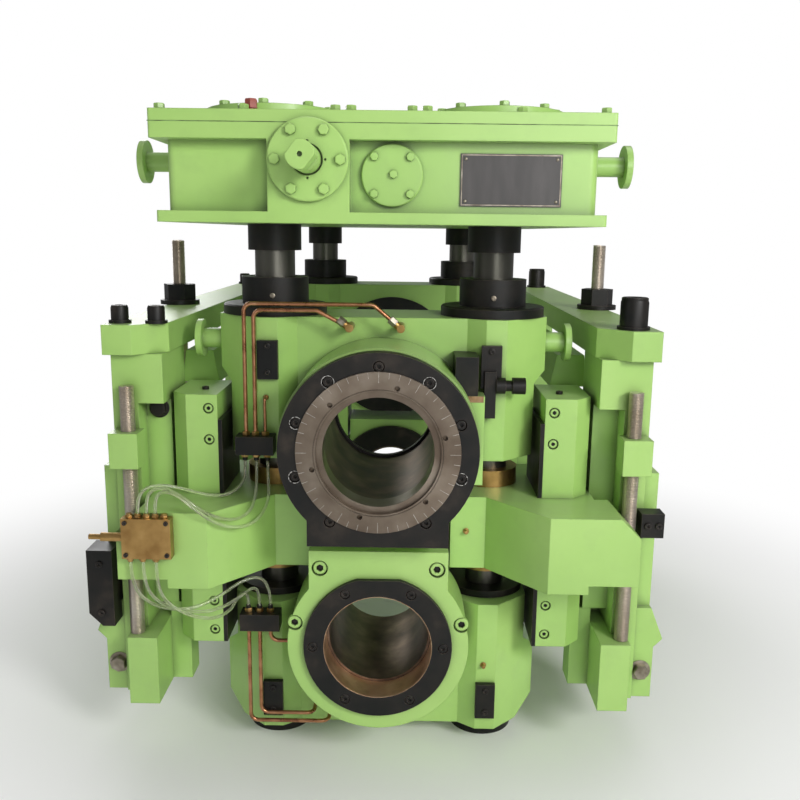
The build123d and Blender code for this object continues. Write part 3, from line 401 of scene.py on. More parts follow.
def green_enamel():
    finish, tree, shader = new_finish(
        "green_enamel", Coat_Weight=0.22, Coat_Roughness=0.20, Specular_IOR_Level=0.45,
    )
    clouds = noise_on_piece(tree, 3.2, 5.0)
    colour = colours_along(tree, clouds, [
        (0.32, (0.310, 0.510, 0.132)), (0.52, (0.362, 0.585, 0.155)), (0.74, (0.408, 0.628, 0.182)),
    ])
    flecks = colours_along(tree, noise_on_piece(tree, 26.0, 6.0), [
        (0.52, (0, 0, 0)), (0.74, (0.22, 0.22, 0.22)),
    ])
    colour = mixed(tree, flecks, colour, (0.28, 0.44, 0.14, 1))
    up = add_node(tree, "ShaderNodeNewGeometry")
    height = add_node(tree, "ShaderNodeSeparateXYZ", {0: up.outputs["Normal"]})
    settled = rise_between(tree, height.outputs["Z"], 0.75, 1.0, 0.55)
    dust = share_of(tree, settled, noise_on_piece(tree, 11.0, 6.0))
    colour = mixed(tree, dust, colour, (0.40, 0.44, 0.27, 1))
    # Painted shade: creases and corners are darkened towards a deep green.
    colour = mixed(tree, painted_crease_shade(tree, 0.026, 0.75), colour, (0.055, 0.080, 0.028, 1))
    rounded = edge_normal(tree, 0.0026)
    chipped = colours_along(tree, noise_on_piece(tree, 85.0, 6.0), [
        (0.56, (0, 0, 0)), (0.66, (1, 1, 1)),
    ])
    colour = mixed(tree, edge_share(tree, rounded, 0.50, chipped), colour, (0.16, 0.20, 0.09, 1))
    skin = bumps(tree, 0.11, 0.0006, noise_on_piece(tree, 240.0, 2.0), rounded)
    waves = bumps(tree, 0.16, 0.004, noise_on_piece(tree, 14.0, 2.0), skin)
    dress_shader(tree, shader, colour, clouds, (0.30, 0.46), waves)
    return finish


enamel = green_enamel()
coat(
    enamel, "gearbox_case", "gearbox_cover", "screw_caps", "input_bearing_covers", "inspection_covers",
    "gearbox_trunnions", "supports_right", "supports_left", "guide_posts_right", "guide_posts_left",
    "side_frame_right", "side_frame_left", "top_arm_right", "top_arm_left", "guide_beams",
    "upper_chock_front", "upper_chock_rear", "chock_trunnions",
    "lower_chock_front", "lower_chock_rear", "lower_bearing_covers", "input_shaft",
)


# Clamp screws and hanger screws
# Long screws with a full-length rolled thread: four hold the supports to the side frames, and two
# stand in the arms. The crests are bright, and the roots are darkened with painted shade.
thread_pitch = 0.0032
thread_ridge = 0.0013
thread_steps = 24
thread_profile_sides = 4
clamp_screw_r = 0.013
clamp_screw_z = (0.269, 0.769)
clamp_screw_places = [(side * 0.483, end * 0.684) for side in (-1, 1) for end in (-1, 1)]
hanger_screw_r = 0.014
hanger_screw_z = (0.610, 1.035)
hanger_screw_places = [(side * 0.505, -0.190) for side in (-1, 1)]


def start_tree(name, sizes):
    tree = bpy.data.node_groups.new(name, "GeometryNodeTree")
    tree.interface.new_socket("Spots", in_out="INPUT", socket_type="NodeSocketGeometry")
    for size in sizes:
        tree.interface.new_socket(size, in_out="INPUT", socket_type="NodeSocketFloat")
    tree.interface.new_socket("Finish", in_out="INPUT", socket_type="NodeSocketMaterial")
    tree.interface.new_socket("Pieces", in_out="OUTPUT", socket_type="NodeSocketGeometry")
    return tree, add_node(tree, "NodeGroupInput").outputs


def end_tree(tree, given, shape, most_turn):
    facing = add_node(tree, "GeometryNodeInputNamedAttribute", {"Name": "facing"}, data_type="FLOAT_VECTOR")
    aligned = add_node(tree, "FunctionNodeAlignRotationToVector", {
        "Vector": facing.outputs["Attribute"],
    }, axis="Z")
    chance = add_node(tree, "FunctionNodeRandomValue", {2: 0.0, 3: most_turn, "Seed": 5}, data_type="FLOAT")
    turn = add_node(tree, "FunctionNodeAxisAngleToRotation", {"Axis": (0, 0, 1), "Angle": chance.outputs[1]})
    turned = add_node(tree, "FunctionNodeRotateRotation", {
        "Rotation": aligned, "Rotate By": turn,
    }, rotation_space="LOCAL")
    placed = add_node(tree, "GeometryNodeInstanceOnPoints", {
        "Points": given["Spots"], "Instance": shape, "Rotation": turned,
    })
    real = add_node(tree, "GeometryNodeRealizeInstances", {"Geometry": placed})
    coated = add_node(tree, "GeometryNodeSetMaterial", {
        "Geometry": real, "Material": given["Finish"],
    })
    add_node(tree, "NodeGroupOutput", {"Pieces": coated})
    return tree


def smooth_shading(mesh, sharp_from):
    mesh.shade_smooth()
    mesh.set_sharp_from_angle(angle=radians(sharp_from))


def with_modifiers(holder):
    return bpy.data.meshes.new_from_object(holder.evaluated_get(bpy.context.evaluated_depsgraph_get()))


def grow_pieces(name, tree, spots, sizes, finish, body):
    seeds = bpy.data.meshes.new(name + "_spots")
    seeds.from_pydata([place for place, facing in spots], [], [])
    facings = seeds.attributes.new("facing", "FLOAT_VECTOR", "POINT")
    for kept, (place, facing) in zip(facings.data, spots):
        kept.vector = facing
    holder = new_object(name + "_spots", seeds)
    modifier = holder.modifiers.new("grow", "NODES")
    modifier.node_group = tree
    sockets = {
        item.name: item.identifier for item in tree.interface.items_tree if item.in_out == "INPUT"
    }
    for size, value in sizes.items():
        modifier[sockets[size]] = value
    modifier[sockets["Finish"]] = finish
    grown = with_modifiers(holder)
    bpy.data.objects.remove(holder)
    shape = bmesh.new()
    shape.from_mesh(grown)
    bmesh.ops.recalc_face_normals(shape, faces=shape.faces)
    shape.to_mesh(grown)
    shape.free()
    grown.name = name
    smooth_shading(grown, 35)
    piece = new_object(name, grown)
    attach(piece, body)
    return piece


def screw_thread_tree():
    tree, given = start_tree("screw_thread", ("Core Radius", "Length", "Pitch", "Ridge"))
    rounds = add_node(tree, "ShaderNodeMath", {
        0: given["Length"], 1: given["Pitch"],
    }, operation="DIVIDE")
    winding = add_node(tree, "GeometryNodeCurveSpiral", {
        "Resolution": thread_steps, "Rotations": rounds, "Height": given["Length"],
        "Start Radius": given["Core Radius"], "End Radius": given["Core Radius"],
    })
    level = add_node(tree, "GeometryNodeSetCurveNormal", {"Curve": winding}, mode="Z_UP")
    profile = add_node(tree, "GeometryNodeCurvePrimitiveCircle", {
        "Resolution": thread_profile_sides, "Radius": given["Ridge"],
    }, mode="RADIUS")
    ridge = add_node(tree, "GeometryNodeCurveToMesh", {
        "Curve": level, "Profile Curve": profile, "Fill Caps": True,
    })
    return end_tree(tree, given, ridge, 0.0)


def threaded_steel():
    finish, tree, shader = new_finish("threaded_steel", Metallic=0.75, Roughness=0.28)
    stains = noise_on_piece(tree, 9.0, 5.0)
    colour = colours_along(tree, stains, [
        (0.30, (0.44, 0.37, 0.29)), (0.55, (0.60, 0.53, 0.45)), (0.80, (0.76, 0.70, 0.62)),
    ])
    # Painted shade: the thread roots are darkened by an occlusion mask.
    colour = mixed(tree, painted_crease_shade(tree, 0.0018, 0.85), colour, (0.060, 0.046, 0.034, 1))
    tree.links.new(colour, shader.inputs["Base Color"])
    return finish


thread_steel = threaded_steel()
thread_tree = screw_thread_tree()
coat(thread_steel, "clamp_screws", "hanger_screws")
for screw_name, screw_places, screw_r, screw_z in (
    ("clamp_screw_threads", clamp_screw_places, clamp_screw_r, clamp_screw_z),
    ("hanger_screw_threads", hanger_screw_places, hanger_screw_r, hanger_screw_z),
):
    grow_pieces(
        screw_name, thread_tree, [((x, y, screw_z[0]), (0, 0, 1)) for x, y in screw_places], {
            "Core Radius": screw_r, "Length": screw_z[1] - screw_z[0], "Pitch": thread_pitch,
            "Ridge": thread_ridge,
        }, thread_steel, "stand",
    )


# Side frames and arms
# Two welded frames of columns, feet and rails carry the arms, which are drawn down by studs.
# The feet are bolted to the base through washers sunk in the plate.
foot_bolt_places = [(side * 0.533, 0.187) for side in (-1, 1)]
foot_bolt_y = -0.655
column_bolt_places = [(-0.443, 0.712)]
column_bolt_y = -0.610
crown_share = 0.88
weld_distance = 0.00001
washer_sides = 32


def both_ends(spots):
    return spots + [
        ((x, -y, z), (along_x, -along_y, along_z)) for (x, y, z), (along_x, along_y, along_z) in spots
    ]


def facing_front(places, y):
    return [((x, y, z), (0, -1, 0)) for x, z in places]


def upward(tree, height):
    return add_node(tree, "ShaderNodeCombineXYZ", {"Z": height}).outputs["Vector"]


def joined(tree, first, second):
    both = add_node(tree, "GeometryNodeJoinGeometry", {"Geometry": first})
    tree.links.new(second, both.inputs["Geometry"])
    return both


def raised_face(tree, sides, radius, base, height, chamfer):
    rim = add_node(tree, "GeometryNodeMeshCircle", {"Vertices": sides, "Radius": radius}, fill_type="NGON")
    start = add_node(tree, "GeometryNodeTransform", {
        "Geometry": rim, "Translation": upward(tree, base),
    })
    wall = add_node(tree, "GeometryNodeExtrudeMesh", {
        "Mesh": start, "Offset": (0, 0, 1),
        "Offset Scale": share_of(tree, height, 1 - chamfer), "Individual": False,
    }, mode="FACES")
    slope = add_node(tree, "GeometryNodeExtrudeMesh", {
        "Mesh": wall, "Selection": wall.outputs["Top"], "Offset": (0, 0, 1),
        "Offset Scale": share_of(tree, height, chamfer), "Individual": False,
    }, mode="FACES")
    crown = add_node(tree, "GeometryNodeScaleElements", {
        "Geometry": slope, "Selection": slope.outputs["Top"], "Scale": crown_share,
    }, domain="FACE")
    foot = add_node(tree, "GeometryNodeFlipFaces", {"Mesh": start})
    closed = add_node(tree, "GeometryNodeMergeByDistance", {
        "Geometry": joined(tree, crown, foot.outputs["Mesh"]), "Distance": weld_distance,
    })
    return closed.outputs["Geometry"]


def hexagon_head_tree():
    tree, given = start_tree("hexagon_head", ("Corner Radius", "Height", "Washer Radius", "Washer Height"))
    washer = raised_face(
        tree, washer_sides, given["Washer Radius"], 0, given["Washer Height"], 0.2,
    )
    head = raised_face(
        tree, 6, given["Corner Radius"], given["Washer Height"], given["Height"], 0.16,
    )
    return end_tree(tree, given, joined(tree, washer, head), pi / 3)


hexagon_heads = hexagon_head_tree()


def hexagon_sizes(corner_r, height, washer_r, washer_height=0.0006):
    return {
        "Corner Radius": corner_r, "Height": height, "Washer Radius": washer_r, "Washer Height": washer_height,
    }


zinc = tinted_finish("worn_zinc", [
    (0.35, (0.16, 0.13, 0.095)), (0.60, (0.34, 0.30, 0.24)), (0.80, (0.50, 0.46, 0.39)),
], 45.0, 6.0, Metallic=0.8, Roughness=0.42)
grow_pieces(
    "foot_bolt_heads", hexagon_heads, both_ends(facing_front(foot_bolt_places, foot_bolt_y)),
    hexagon_sizes(0.0165, 0.013, 0.0215, 0.002), zinc, "stand",
)
grow_pieces(
    "column_bolt_heads", hexagon_heads, both_ends(facing_front(column_bolt_places, column_bolt_y)),
    hexagon_sizes(0.017, 0.012, 0.020, 0.002), black, "stand",
)


# Guide posts and side blocks
# Upright posts guide the chocks, each held by socket screws sunk below its face.
# Black blocks are screwed to the outer plates of the frames, and larger screws hold the arms down.
arm_screw_places = [
    ((-0.433, -0.640), 0.0165, 0.034), ((-0.503, -0.640), 0.0165, 0.034), ((0.480, -0.640), 0.0265, 0.061),
]
arm_top = 0.884
post_face_y = -0.658
post_screw_places = [
    (side * 0.3345, z) for side in (-1, 1) for z in (0.722, 0.660, 0.325, 0.263)
]
sunk_r = 0.0105
sunk_depth = 0.008
round_head_sides = 28
post_top_places = [(side * 0.352, end * 0.600, 0.749) for side in (-1, 1) for end in (-1, 1)]
side_block_screw_places = [(-0.548, 0.315), (-0.548, 0.416), (0.516, 0.511), (0.537, 0.511)]
side_block_front_y = -0.700


def bored_copy(name, node_name, spots, r, depth, body, sides=28):
    merged = bmesh.new()
    merged.from_mesh(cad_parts[node_name].data)
    bmesh.ops.remove_doubles(merged, verts=merged.verts, dist=0.000002)
    mesh = bpy.data.meshes.new(name)
    merged.to_mesh(mesh)
    merged.free()
    if "custom_normal" in mesh.attributes:
        mesh.attributes.remove(mesh.attributes["custom_normal"])
    mesh.materials.clear()
    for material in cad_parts[node_name].data.materials:
        mesh.materials.append(material)
    piece = new_object(name, mesh)
    drills = bmesh.new()
    for place, facing in spots:
        middle = Vector(place) - Vector(facing) * (depth / 2 - 0.001)
        turn = Vector(facing).to_track_quat("Z", "Y").to_matrix().to_4x4()
        bmesh.ops.create_cone(
            drills, cap_ends=True, segments=sides, radius1=r, radius2=r, depth=depth + 0.002,
            matrix=Matrix.Translation(middle) @ turn,
        )
    drill_mesh = bpy.data.meshes.new(name + "_drills")
    drills.to_mesh(drill_mesh)
    drills.free()
    drill = new_object(name + "_drills", drill_mesh)
    cut = piece.modifiers.new("bore", "BOOLEAN")
    cut.operation = "DIFFERENCE"
    cut.solver = "EXACT"
    cut.object = drill
    bored = with_modifiers(piece)
    piece.modifiers.clear()
    bpy.data.objects.remove(drill)
    piece.data = bored
    smooth_shading(bored, 28)
    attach(piece, body)
    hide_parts(node_name)
    return piece


def socket_head_tree():
    tree, given = start_tree("socket_head", ("Head Radius", "Height", "Key Radius", "Key Depth"))
    head = raised_face(
        tree, round_head_sides, given["Head Radius"], 0, given["Height"], 0.16,
    )
    key = add_node(tree, "GeometryNodeMeshCylinder", {
        "Vertices": 6, "Radius": given["Key Radius"],
        "Depth": share_of(tree, given["Key Depth"], 2.0),
    }, fill_type="NGON")
    key_up = add_node(tree, "GeometryNodeTransform", {
        "Geometry": key, "Translation": upward(tree, given["Height"]),
    })
    socket = add_node(tree, "GeometryNodeMeshBoolean", operation="DIFFERENCE")
    tree.links.new(head, socket.inputs["Mesh 1"])
    tree.links.new(key_up.outputs["Geometry"], socket.inputs["Mesh 2"])
    return end_tree(tree, given, socket, pi / 3)


socket_heads = socket_head_tree()


def socket_sizes(head_r, height, key_share=0.52):
    return {
        "Head Radius": head_r, "Height": height, "Key Radius": head_r * key_share, "Key Depth": height * 0.72,
    }


def sunk(spots, depth):
    return [
        (tuple(Vector(place) - Vector(facing) * depth), facing) for place, facing in spots
    ]


# Painted shade: a dark hexagonal plug sits deep in each socket, standing for the shade inside it.
def shade_plugs_in_sockets(name, spots, sizes, body):
    grow_pieces(
        name, hexagon_heads, sunk(spots, sizes["Key Depth"] - sizes["Height"]),
        hexagon_sizes(sizes["Key Radius"] * 0.97, sizes["Key Depth"] * 0.45, sizes["Key Radius"] * 0.70),
        black, body,
    )


for screw_index, ((screw_x, screw_y), screw_r, screw_height) in enumerate(arm_screw_places, 1):
    grow_pieces(
        "arm_screw_heads_%d" % screw_index, socket_heads,
        both_ends([((screw_x, screw_y, arm_top), (0, 0, 1))]),
        socket_sizes(screw_r, screw_height, 0.55), black, "stand",
    )
for side_name, side in (("left", -1), ("right", 1)):
    side_places = [place for place in post_screw_places if place[0] * side > 0]
    bored_copy(
        "bored_posts_" + side_name, "guide_posts_" + side_name,
        both_ends(facing_front(side_places, post_face_y)), sunk_r, sunk_depth, "stand",
    )
post_screw_spots = sunk(both_ends(facing_front(post_screw_places, post_face_y)), sunk_depth)
post_screw_size = socket_sizes(0.0082, 0.0066, 0.50)
grow_pieces(
    "post_screw_heads", socket_heads, post_screw_spots, post_screw_size, enamel, "stand",
)
# Dark plugs in the post screw sockets are painted shade.
shade_plugs_in_sockets("post_screw_socket_shade", post_screw_spots, post_screw_size, "stand")
grow_pieces(
    "post_top_screws", socket_heads, [(place, (0, 0, 1)) for place in post_top_places],
    socket_sizes(0.0070, 0.0060), black, "stand",
)
grow_pieces(
    "side_block_screws", socket_heads, facing_front(side_block_screw_places, side_block_front_y),
    socket_sizes(0.0065, 0.004), black, "stand",
)


# Brass nuts and grease distributor
# Large brass nuts lock the supports on their rods, and a brass block on the left wing shares the grease.
# The block is held by four socket screws and has a screwed union at each port.
distributor_front = -0.805
distributor_screw_places = [(x, z) for x in (-0.4585, -0.3835) for z in (0.4775, 0.5385)]
distributor_top_ports = (-0.453, -0.437, -0.421, -0.405, -0.389)
distributor_bottom_ports = (-0.454, -0.431, -0.407)
distributor_port_y = -0.794
distributor_port_z = (0.470, 0.546)


def upright_row(row_x, y, z, up=1):
    return [((x, y, z), (0, 0, up)) for x in row_x]


def dull_metal(name, dark, middle, light, scale=26.0, rough=(0.26, 0.46)):
    finish, tree, shader = new_finish(name, Metallic=0.92)
    tarnish = noise_on_piece(tree, scale, 6.0)
    colour = colours_along(tree, tarnish, [(0.32, dark), (0.55, middle), (0.80, light)])
    rounded = edge_normal(tree, 0.0008)
    # Painted shade: creases and hollows are darkened towards a third of the darkest tone.
    colour = mixed(tree, painted_crease_shade(tree, 0.006, 0.55), colour, (*[part * 0.35 for part in dark], 1))
    skin = bumps(tree, 0.10, 0.0003, noise_on_piece(tree, 600.0, 2.0), rounded)
    dress_shader(tree, shader, colour, tarnish, rough, skin)
    return finish


brass = dull_metal("dull_brass", (0.29, 0.165, 0.055), (0.43, 0.265, 0.092), (0.60, 0.40, 0.165))
coat(brass, "support_nuts", "distributor_block", "distributor_nozzle")
grow_pieces(
    "distributor_screws", socket_heads, facing_front(distributor_screw_places, distributor_front),
    socket_sizes(0.0042, 0.0032), black, "stand",
)
grow_pieces(
    "distributor_unions", hexagon_heads,
    upright_row(distributor_top_ports, distributor_port_y, distributor_port_z[1])
    + upright_row(distributor_bottom_ports, distributor_port_y, distributor_port_z[0], -1),
    hexagon_sizes(0.0072, 0.0050, 0.0062), brass, "stand",
)


# Lower chocks
# Green castings bored for the lower roll, each with a bolted cover, a black ring and a bronze bush.
# The four cover screws are sunk in counterbores, and so are the six screws of the ring.
lower_axis_z = 0.280
lower_ring_y = -0.761
lower_ring_screw_r = 0.1250
lower_ring_pocket_r = 0.0098
lower_ring_sink = 0.0062
lower_cover_y = -0.750
cover_sink = 0.012
cover_screw_places = [(-0.111, 0.435), (0.111, 0.435), (-0.160, 0.324), (0.160, 0.324)]
bush_outer_r = 0.1037
bush_inner_r = 0.1029
bush_y = (0.7605, 0.7005)
bush_sides = 96


def around(radius, degrees, y, axis_z, axis_x=0):
    turns = [radians(turn) for turn in degrees]
    return [((axis_x + radius * cos(turn), y, axis_z + radius * sin(turn)), (0, -1, 0)) for turn in turns]


def close_rims(shape, rims):
    for rim, next_rim in zip(rims, rims[1:] + rims[:1]):
        for corner in range(len(rim)):
            shape.faces.new((rim[corner - 1], rim[corner], next_rim[corner], next_rim[corner - 1]))


def ring_wall(shape, outer_r, inner_r, y_near, y_far, centre_x, centre_z, sides):
    turns = [2 * pi * side / sides for side in range(sides)]
    close_rims(shape, [
        [
            shape.verts.new((centre_x + radius * cos(turn), y, centre_z + radius * sin(turn)))
            for turn in turns
        ]
        for radius, y in ((outer_r, y_near), (outer_r, y_far), (inner_r, y_far), (inner_r, y_near))
    ])


lower_ring_spots = both_ends(around(lower_ring_screw_r, range(0, 360, 60), lower_ring_y, lower_axis_z))
bored_copy(
    "bored_lower_rings", "lower_rings", lower_ring_spots, lower_ring_pocket_r, lower_ring_sink,
    "lower_chocks",
)
grow_pieces(
    "lower_ring_screws", socket_heads, sunk(lower_ring_spots, lower_ring_sink),
    socket_sizes(0.0086, 0.0058), black, "lower_chocks",
)
cover_screw_spots = sunk(both_ends(facing_front(cover_screw_places, lower_cover_y)), cover_sink)
cover_screw_size = socket_sizes(0.0134, 0.0098, 0.54)
grow_pieces(
    "lower_cover_screws", socket_heads, cover_screw_spots, cover_screw_size,
    enamel, "lower_chocks",
)
# Dark plugs in the cover screw sockets are painted shade.
shade_plugs_in_sockets("lower_cover_socket_shade", cover_screw_spots, cover_screw_size, "lower_chocks")

bronze = dull_metal(
    "oiled_bronze", (0.62, 0.36, 0.20), (0.84, 0.54, 0.33), (0.95, 0.70, 0.48), 24.0, (0.30, 0.50),
)
bore_steel = dull_metal(
    "bore_steel", (0.075, 0.055, 0.042), (0.17, 0.125, 0.095), (0.32, 0.25, 0.19), 20.0, (0.34, 0.55),
)
coat(bore_steel, "lower_bearing_sleeves", "upper_bearing_sleeves")
bush_shape = bmesh.new()
for end in (-1, 1):
    ring_wall(
        bush_shape, bush_outer_r, bush_inner_r, end * bush_y[0], end * bush_y[1], 0, lower_axis_z, bush_sides,
    )
bushes = finish_piece("bronze_bushes", bush_shape, bronze)
smooth_shading(bushes.data, 35)
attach(bushes, "lower_chocks")


# Upper chocks
# The upper castings carry a black cover, a graduated steel ring and a steel sleeve for the roll neck.
# Nine sunk screws hold the cover, and dried paste is left round some of them.
upper_axis_z = 0.676
cover_front_y = -0.809
cover_screw_r = 0.155
cover_screw_turns = (90, 125, 55, 160, 20, 197, -17, 236, -56)
cover_pocket_r = 0.0104
cover_pocket_depth = 0.009
ring_front_y = -0.813
ring_middle = Vector((0, ring_front_y, upper_axis_z))
ring_screw_r = 0.1216
ring_screw_turns = [14.5 + 60 * step for step in range(6)]
ring_pocket_r = 0.0048
ring_pocket_depth = 0.010
ring_pocket_sides = 20
scale_outer_r = 0.1465
scale_long = 0.019
scale_short = 0.011
scale_width = 0.0007
scale_turns = [360 * step / 48 for step in range(48)]
paste_turns = (125, 55, 160, 197, -17)
paste_r = (0.0116, 0.0105)
paste_y = (0.8085, 0.8094)

cover_spots = both_ends(around(cover_screw_r, cover_screw_turns, cover_front_y, upper_axis_z))
bored_copy(
    "bored_upper_covers", "upper_bearing_covers", cover_spots, cover_pocket_r, cover_pocket_depth,
    "upper_chocks",
)
grow_pieces(
    "cover_screw_heads", socket_heads, sunk(cover_spots, cover_pocket_depth),
    socket_sizes(0.0090, 0.0075), black, "upper_chocks",
)


def turned_ring_steel():
    finish, tree, shader = new_finish("turned_ring_steel", Metallic=0.85, Anisotropic=0.6)
    place = add_node(tree, "ShaderNodeTexCoord")
    centred = add_node(tree, "ShaderNodeMapping", {
        "Vector": place.outputs["Object"], "Location": (0, 0, -upper_axis_z),
    })
    grooves = add_node(tree, "ShaderNodeTexWave", {
        "Vector": centred, "Scale": 260.0, "Distortion": 0.4, "Detail": 2.0,
    }, wave_type="RINGS", rings_direction="Y")
    stains = noise_on_piece(tree, 13.0, 6.0)
    colour = colours_along(tree, stains, [
        (0.32, (0.130, 0.098, 0.072)), (0.52, (0.200, 0.160, 0.122)), (0.78, (0.320, 0.275, 0.225)),
    ])
    # Painted shade: the colour darkens in the ring's creases and corners.
    colour = mixed(tree, painted_crease_shade(tree, 0.005, 0.6), colour, (0.03, 0.024, 0.018, 1))
    skin = bumps(tree, 0.25, 0.0002, grooves.outputs["Fac"], edge_normal(tree, 0.0008))
    dress_shader(tree, shader, colour, stains, (0.25, 0.44), skin)
    round_the_bore = add_node(tree, "ShaderNodeTangent", direction_type="RADIAL", axis="Y")
    tree.links.new(round_the_bore.outputs["Tangent"], shader.inputs["Tangent"])
    return finish


ring_steel = turned_ring_steel()
coat(ring_steel, "graduated_rings")
bored_copy(
    "bored_graduated_rings", "graduated_rings",
    both_ends(around(ring_screw_r, ring_screw_turns, ring_front_y, upper_axis_z)),
    ring_pocket_r, ring_pocket_depth, "upper_chocks", ring_pocket_sides,
)


def scale_line_tree():
    tree, given = start_tree("scale_line", ("Length", "Width"))
    size = add_node(tree, "ShaderNodeCombineXYZ", {
        "X": given["Width"], "Y": given["Width"], "Z": given["Length"],
    })
    line = add_node(tree, "GeometryNodeMeshCube", {"Size": size})
    shifted = add_node(tree, "GeometryNodeTransform", {
        "Geometry": line, "Translation": upward(tree, share_of(tree, given["Length"], 0.5)),
    })
    return end_tree(tree, given, shifted, 0.0)


scale_chalk = tinted_finish(
    "scale_chalk", [(0.40, (0.36, 0.33, 0.29)), (0.70, (0.62, 0.59, 0.53))], 160.0, Roughness=0.7,
)
scale_lines = scale_line_tree()
for line_name, line_turns, line_length in (
    ("scale_lines_long", scale_turns[::4], scale_long),
    ("scale_lines_short", [turn for turn in scale_turns if turn not in scale_turns[::4]], scale_short),
):
    outwards = [Vector((cos(radians(turn)), 0, sin(radians(turn)))) for turn in line_turns]
    line_spots = [(tuple(ring_middle + way * scale_outer_r), tuple(-way)) for way in outwards]
    grow_pieces(
        line_name, scale_lines, both_ends(line_spots), {"Length": line_length, "Width": scale_width},
        scale_chalk, "upper_chocks",
    )

paste_rings = bmesh.new()
for (paste_x, _, paste_z), _ in around(cover_screw_r, paste_turns, cover_front_y, upper_axis_z):
    for end in (-1, 1):
        ring_wall(
            paste_rings, *paste_r, end * paste_y[0], end * paste_y[1], paste_x, paste_z, round_head_sides,
        )
paste = tinted_finish(
    "dried_paste", [(0.44, (0.030, 0.027, 0.024)), (0.58, (0.50, 0.49, 0.46))], 210.0, 5.0, Roughness=0.8,
)
paste_piece = finish_piece("dried_paste_rings", paste_rings, paste)
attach(paste_piece, "upper_chocks")


# Screws of the small blocks
# Keeper plates, the lock plate and the grease blocks are each held by small socket screws.
# A bright grub screw locks each pressure nut, small nipples take grease, and one strip is unpainted.
keeper_y = -0.657
upper_keeper_places = [(-0.219, 0.845), (-0.219, 0.793)]
lock_screw_place = (0.2105, 0.839)
lower_keeper_places = [(-0.219, 0.134), (-0.219, 0.087), (0.219, 0.134), (0.219, 0.087)]
keeper_screw_size = socket_sizes(0.0062, 0.0030)
grub_places = [(-0.216, 0.936), (0.216, 0.936)]
grub_y = -0.5965
chock_face_y = -0.645
face_screw_places = [(-0.224, 0.743)]
chock_nipple_places = [(0.214, 0.187)]
support_nipple_places = [(0.170, 0.481)]
support_nipple_y = -0.658
nipple_size = hexagon_sizes(0.0046, 0.0085, 0.0060, 0.0020)
bare_centre = Vector((0.171, -0.7072, 0.7562))
bare_size = Vector((0.043, 0.0008, 0.0116))
grow_pieces(
    "upper_keeper_screws", socket_heads,
    both_ends(facing_front(upper_keeper_places, keeper_y)) + facing_front([lock_screw_place], keeper_y),
    keeper_screw_size, black, "upper_chocks",
)
grow_pieces(
    "lower_keeper_screws", socket_heads, both_ends(facing_front(lower_keeper_places, keeper_y)),
    keeper_screw_size, black, "lower_chocks",
)
grow_pieces(
    "grub_screws", socket_heads, both_ends(facing_front(grub_places, grub_y)),
    socket_sizes(0.0052, 0.0024), zinc, "upper_chocks",
)
grow_pieces(
    "chock_face_screws", hexagon_heads, facing_front(face_screw_places, chock_face_y),
    hexagon_sizes(0.0056, 0.0035, 0.0050), brass, "upper_chocks",
)

grow_pieces(
    "support_nipples", hexagon_heads, both_ends(facing_front(support_nipple_places, support_nipple_y)),
    nipple_size, brass, "stand",
)
grow_pieces(
    "lower_chock_nipples", hexagon_heads, both_ends(facing_front(chock_nipple_places, chock_face_y)),
    nipple_size, brass, "lower_chocks",
)
bare_shape = bmesh.new()
bmesh.ops.create_cube(bare_shape, size=1.0, matrix=Matrix.LocRotScale(bare_centre, None, bare_size))
bare_steel = dull_metal(
    "rusty_bare_steel", (0.20, 0.11, 0.055), (0.34, 0.21, 0.12), (0.46, 0.32, 0.20), 60.0, (0.50, 0.70),
)
bare_patch = finish_piece("bare_strip", bare_shape, bare_steel)
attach(bare_patch, "upper_chocks")


# Copper grease pipes
# Drawn copper pipe runs from the grease blocks to the bearings, with unions at both ends.
# The upper pipes come down into two elbow fittings on the chock.
copper = dull_metal(
    "drawn_copper", (0.30, 0.125, 0.062), (0.47, 0.22, 0.115), (0.64, 0.36, 0.21), 40.0, (0.20, 0.38),
)
coat(copper, "upper_pipes", "lower_pipes")
manifold_y = -0.664
elbow_runs = [
    (Vector((0.036, manifold_y, 0.882)), Vector((0.052, 0, -0.044)).normalized()),
    (Vector((-0.061, manifold_y, 0.882)), Vector((0.061, 0, -0.048)).normalized()),
]
elbow_neck_r = 0.0072
elbow_body_r = 0.0078
elbow_end_y = -0.6195
elbow_sides = 20
elbow_nut_reach = 0.027
short_pipe_r = 0.003
short_pipe_route = [
    (-0.2235, manifold_y, 0.676), (-0.2235, manifold_y, 0.715), (-0.2240, manifold_y, 0.743),
    (-0.2240, -0.656, 0.743), (-0.2240, -0.648, 0.743),
]
hose_ports = (-0.264, -0.242, -0.220)
upper_pipe_ports = (-0.26075, -0.2425, -0.2235)
union_size = hexagon_sizes(0.0080, 0.0070, 0.0070)

grow_pieces(
    "pipe_elbow_nuts", hexagon_heads,
    [(tuple(corner - down * elbow_nut_reach), tuple(down)) for corner, down in elbow_runs],
    hexagon_sizes(0.0086, 0.014, 0.0080, 0.0015), zinc, "upper_chocks",
)
elbow_shape = bmesh.new()
for corner, down in elbow_runs:
    add_tube(elbow_shape, [
        corner - down * 0.013, corner - down * 0.002, corner + down * 0.003,
    ], elbow_neck_r, elbow_sides)
    add_tube(elbow_shape, [
        corner + Vector((0, -0.008, 0)), corner + Vector((0, 0.020, 0)),
        Vector((corner.x, elbow_end_y, corner.z)),
    ], elbow_body_r, elbow_sides)
elbows = finish_piece("pipe_elbows", elbow_shape, brass)
smooth_shading(elbows.data, 40)
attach(elbows, "upper_chocks")
short_pipe = bmesh.new()
add_tube(short_pipe, line_along(short_pipe_route), short_pipe_r, hose_sides)
short_pipe_piece = finish_piece("short_grease_pipe", short_pipe, copper)
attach(short_pipe_piece, "upper_chocks")
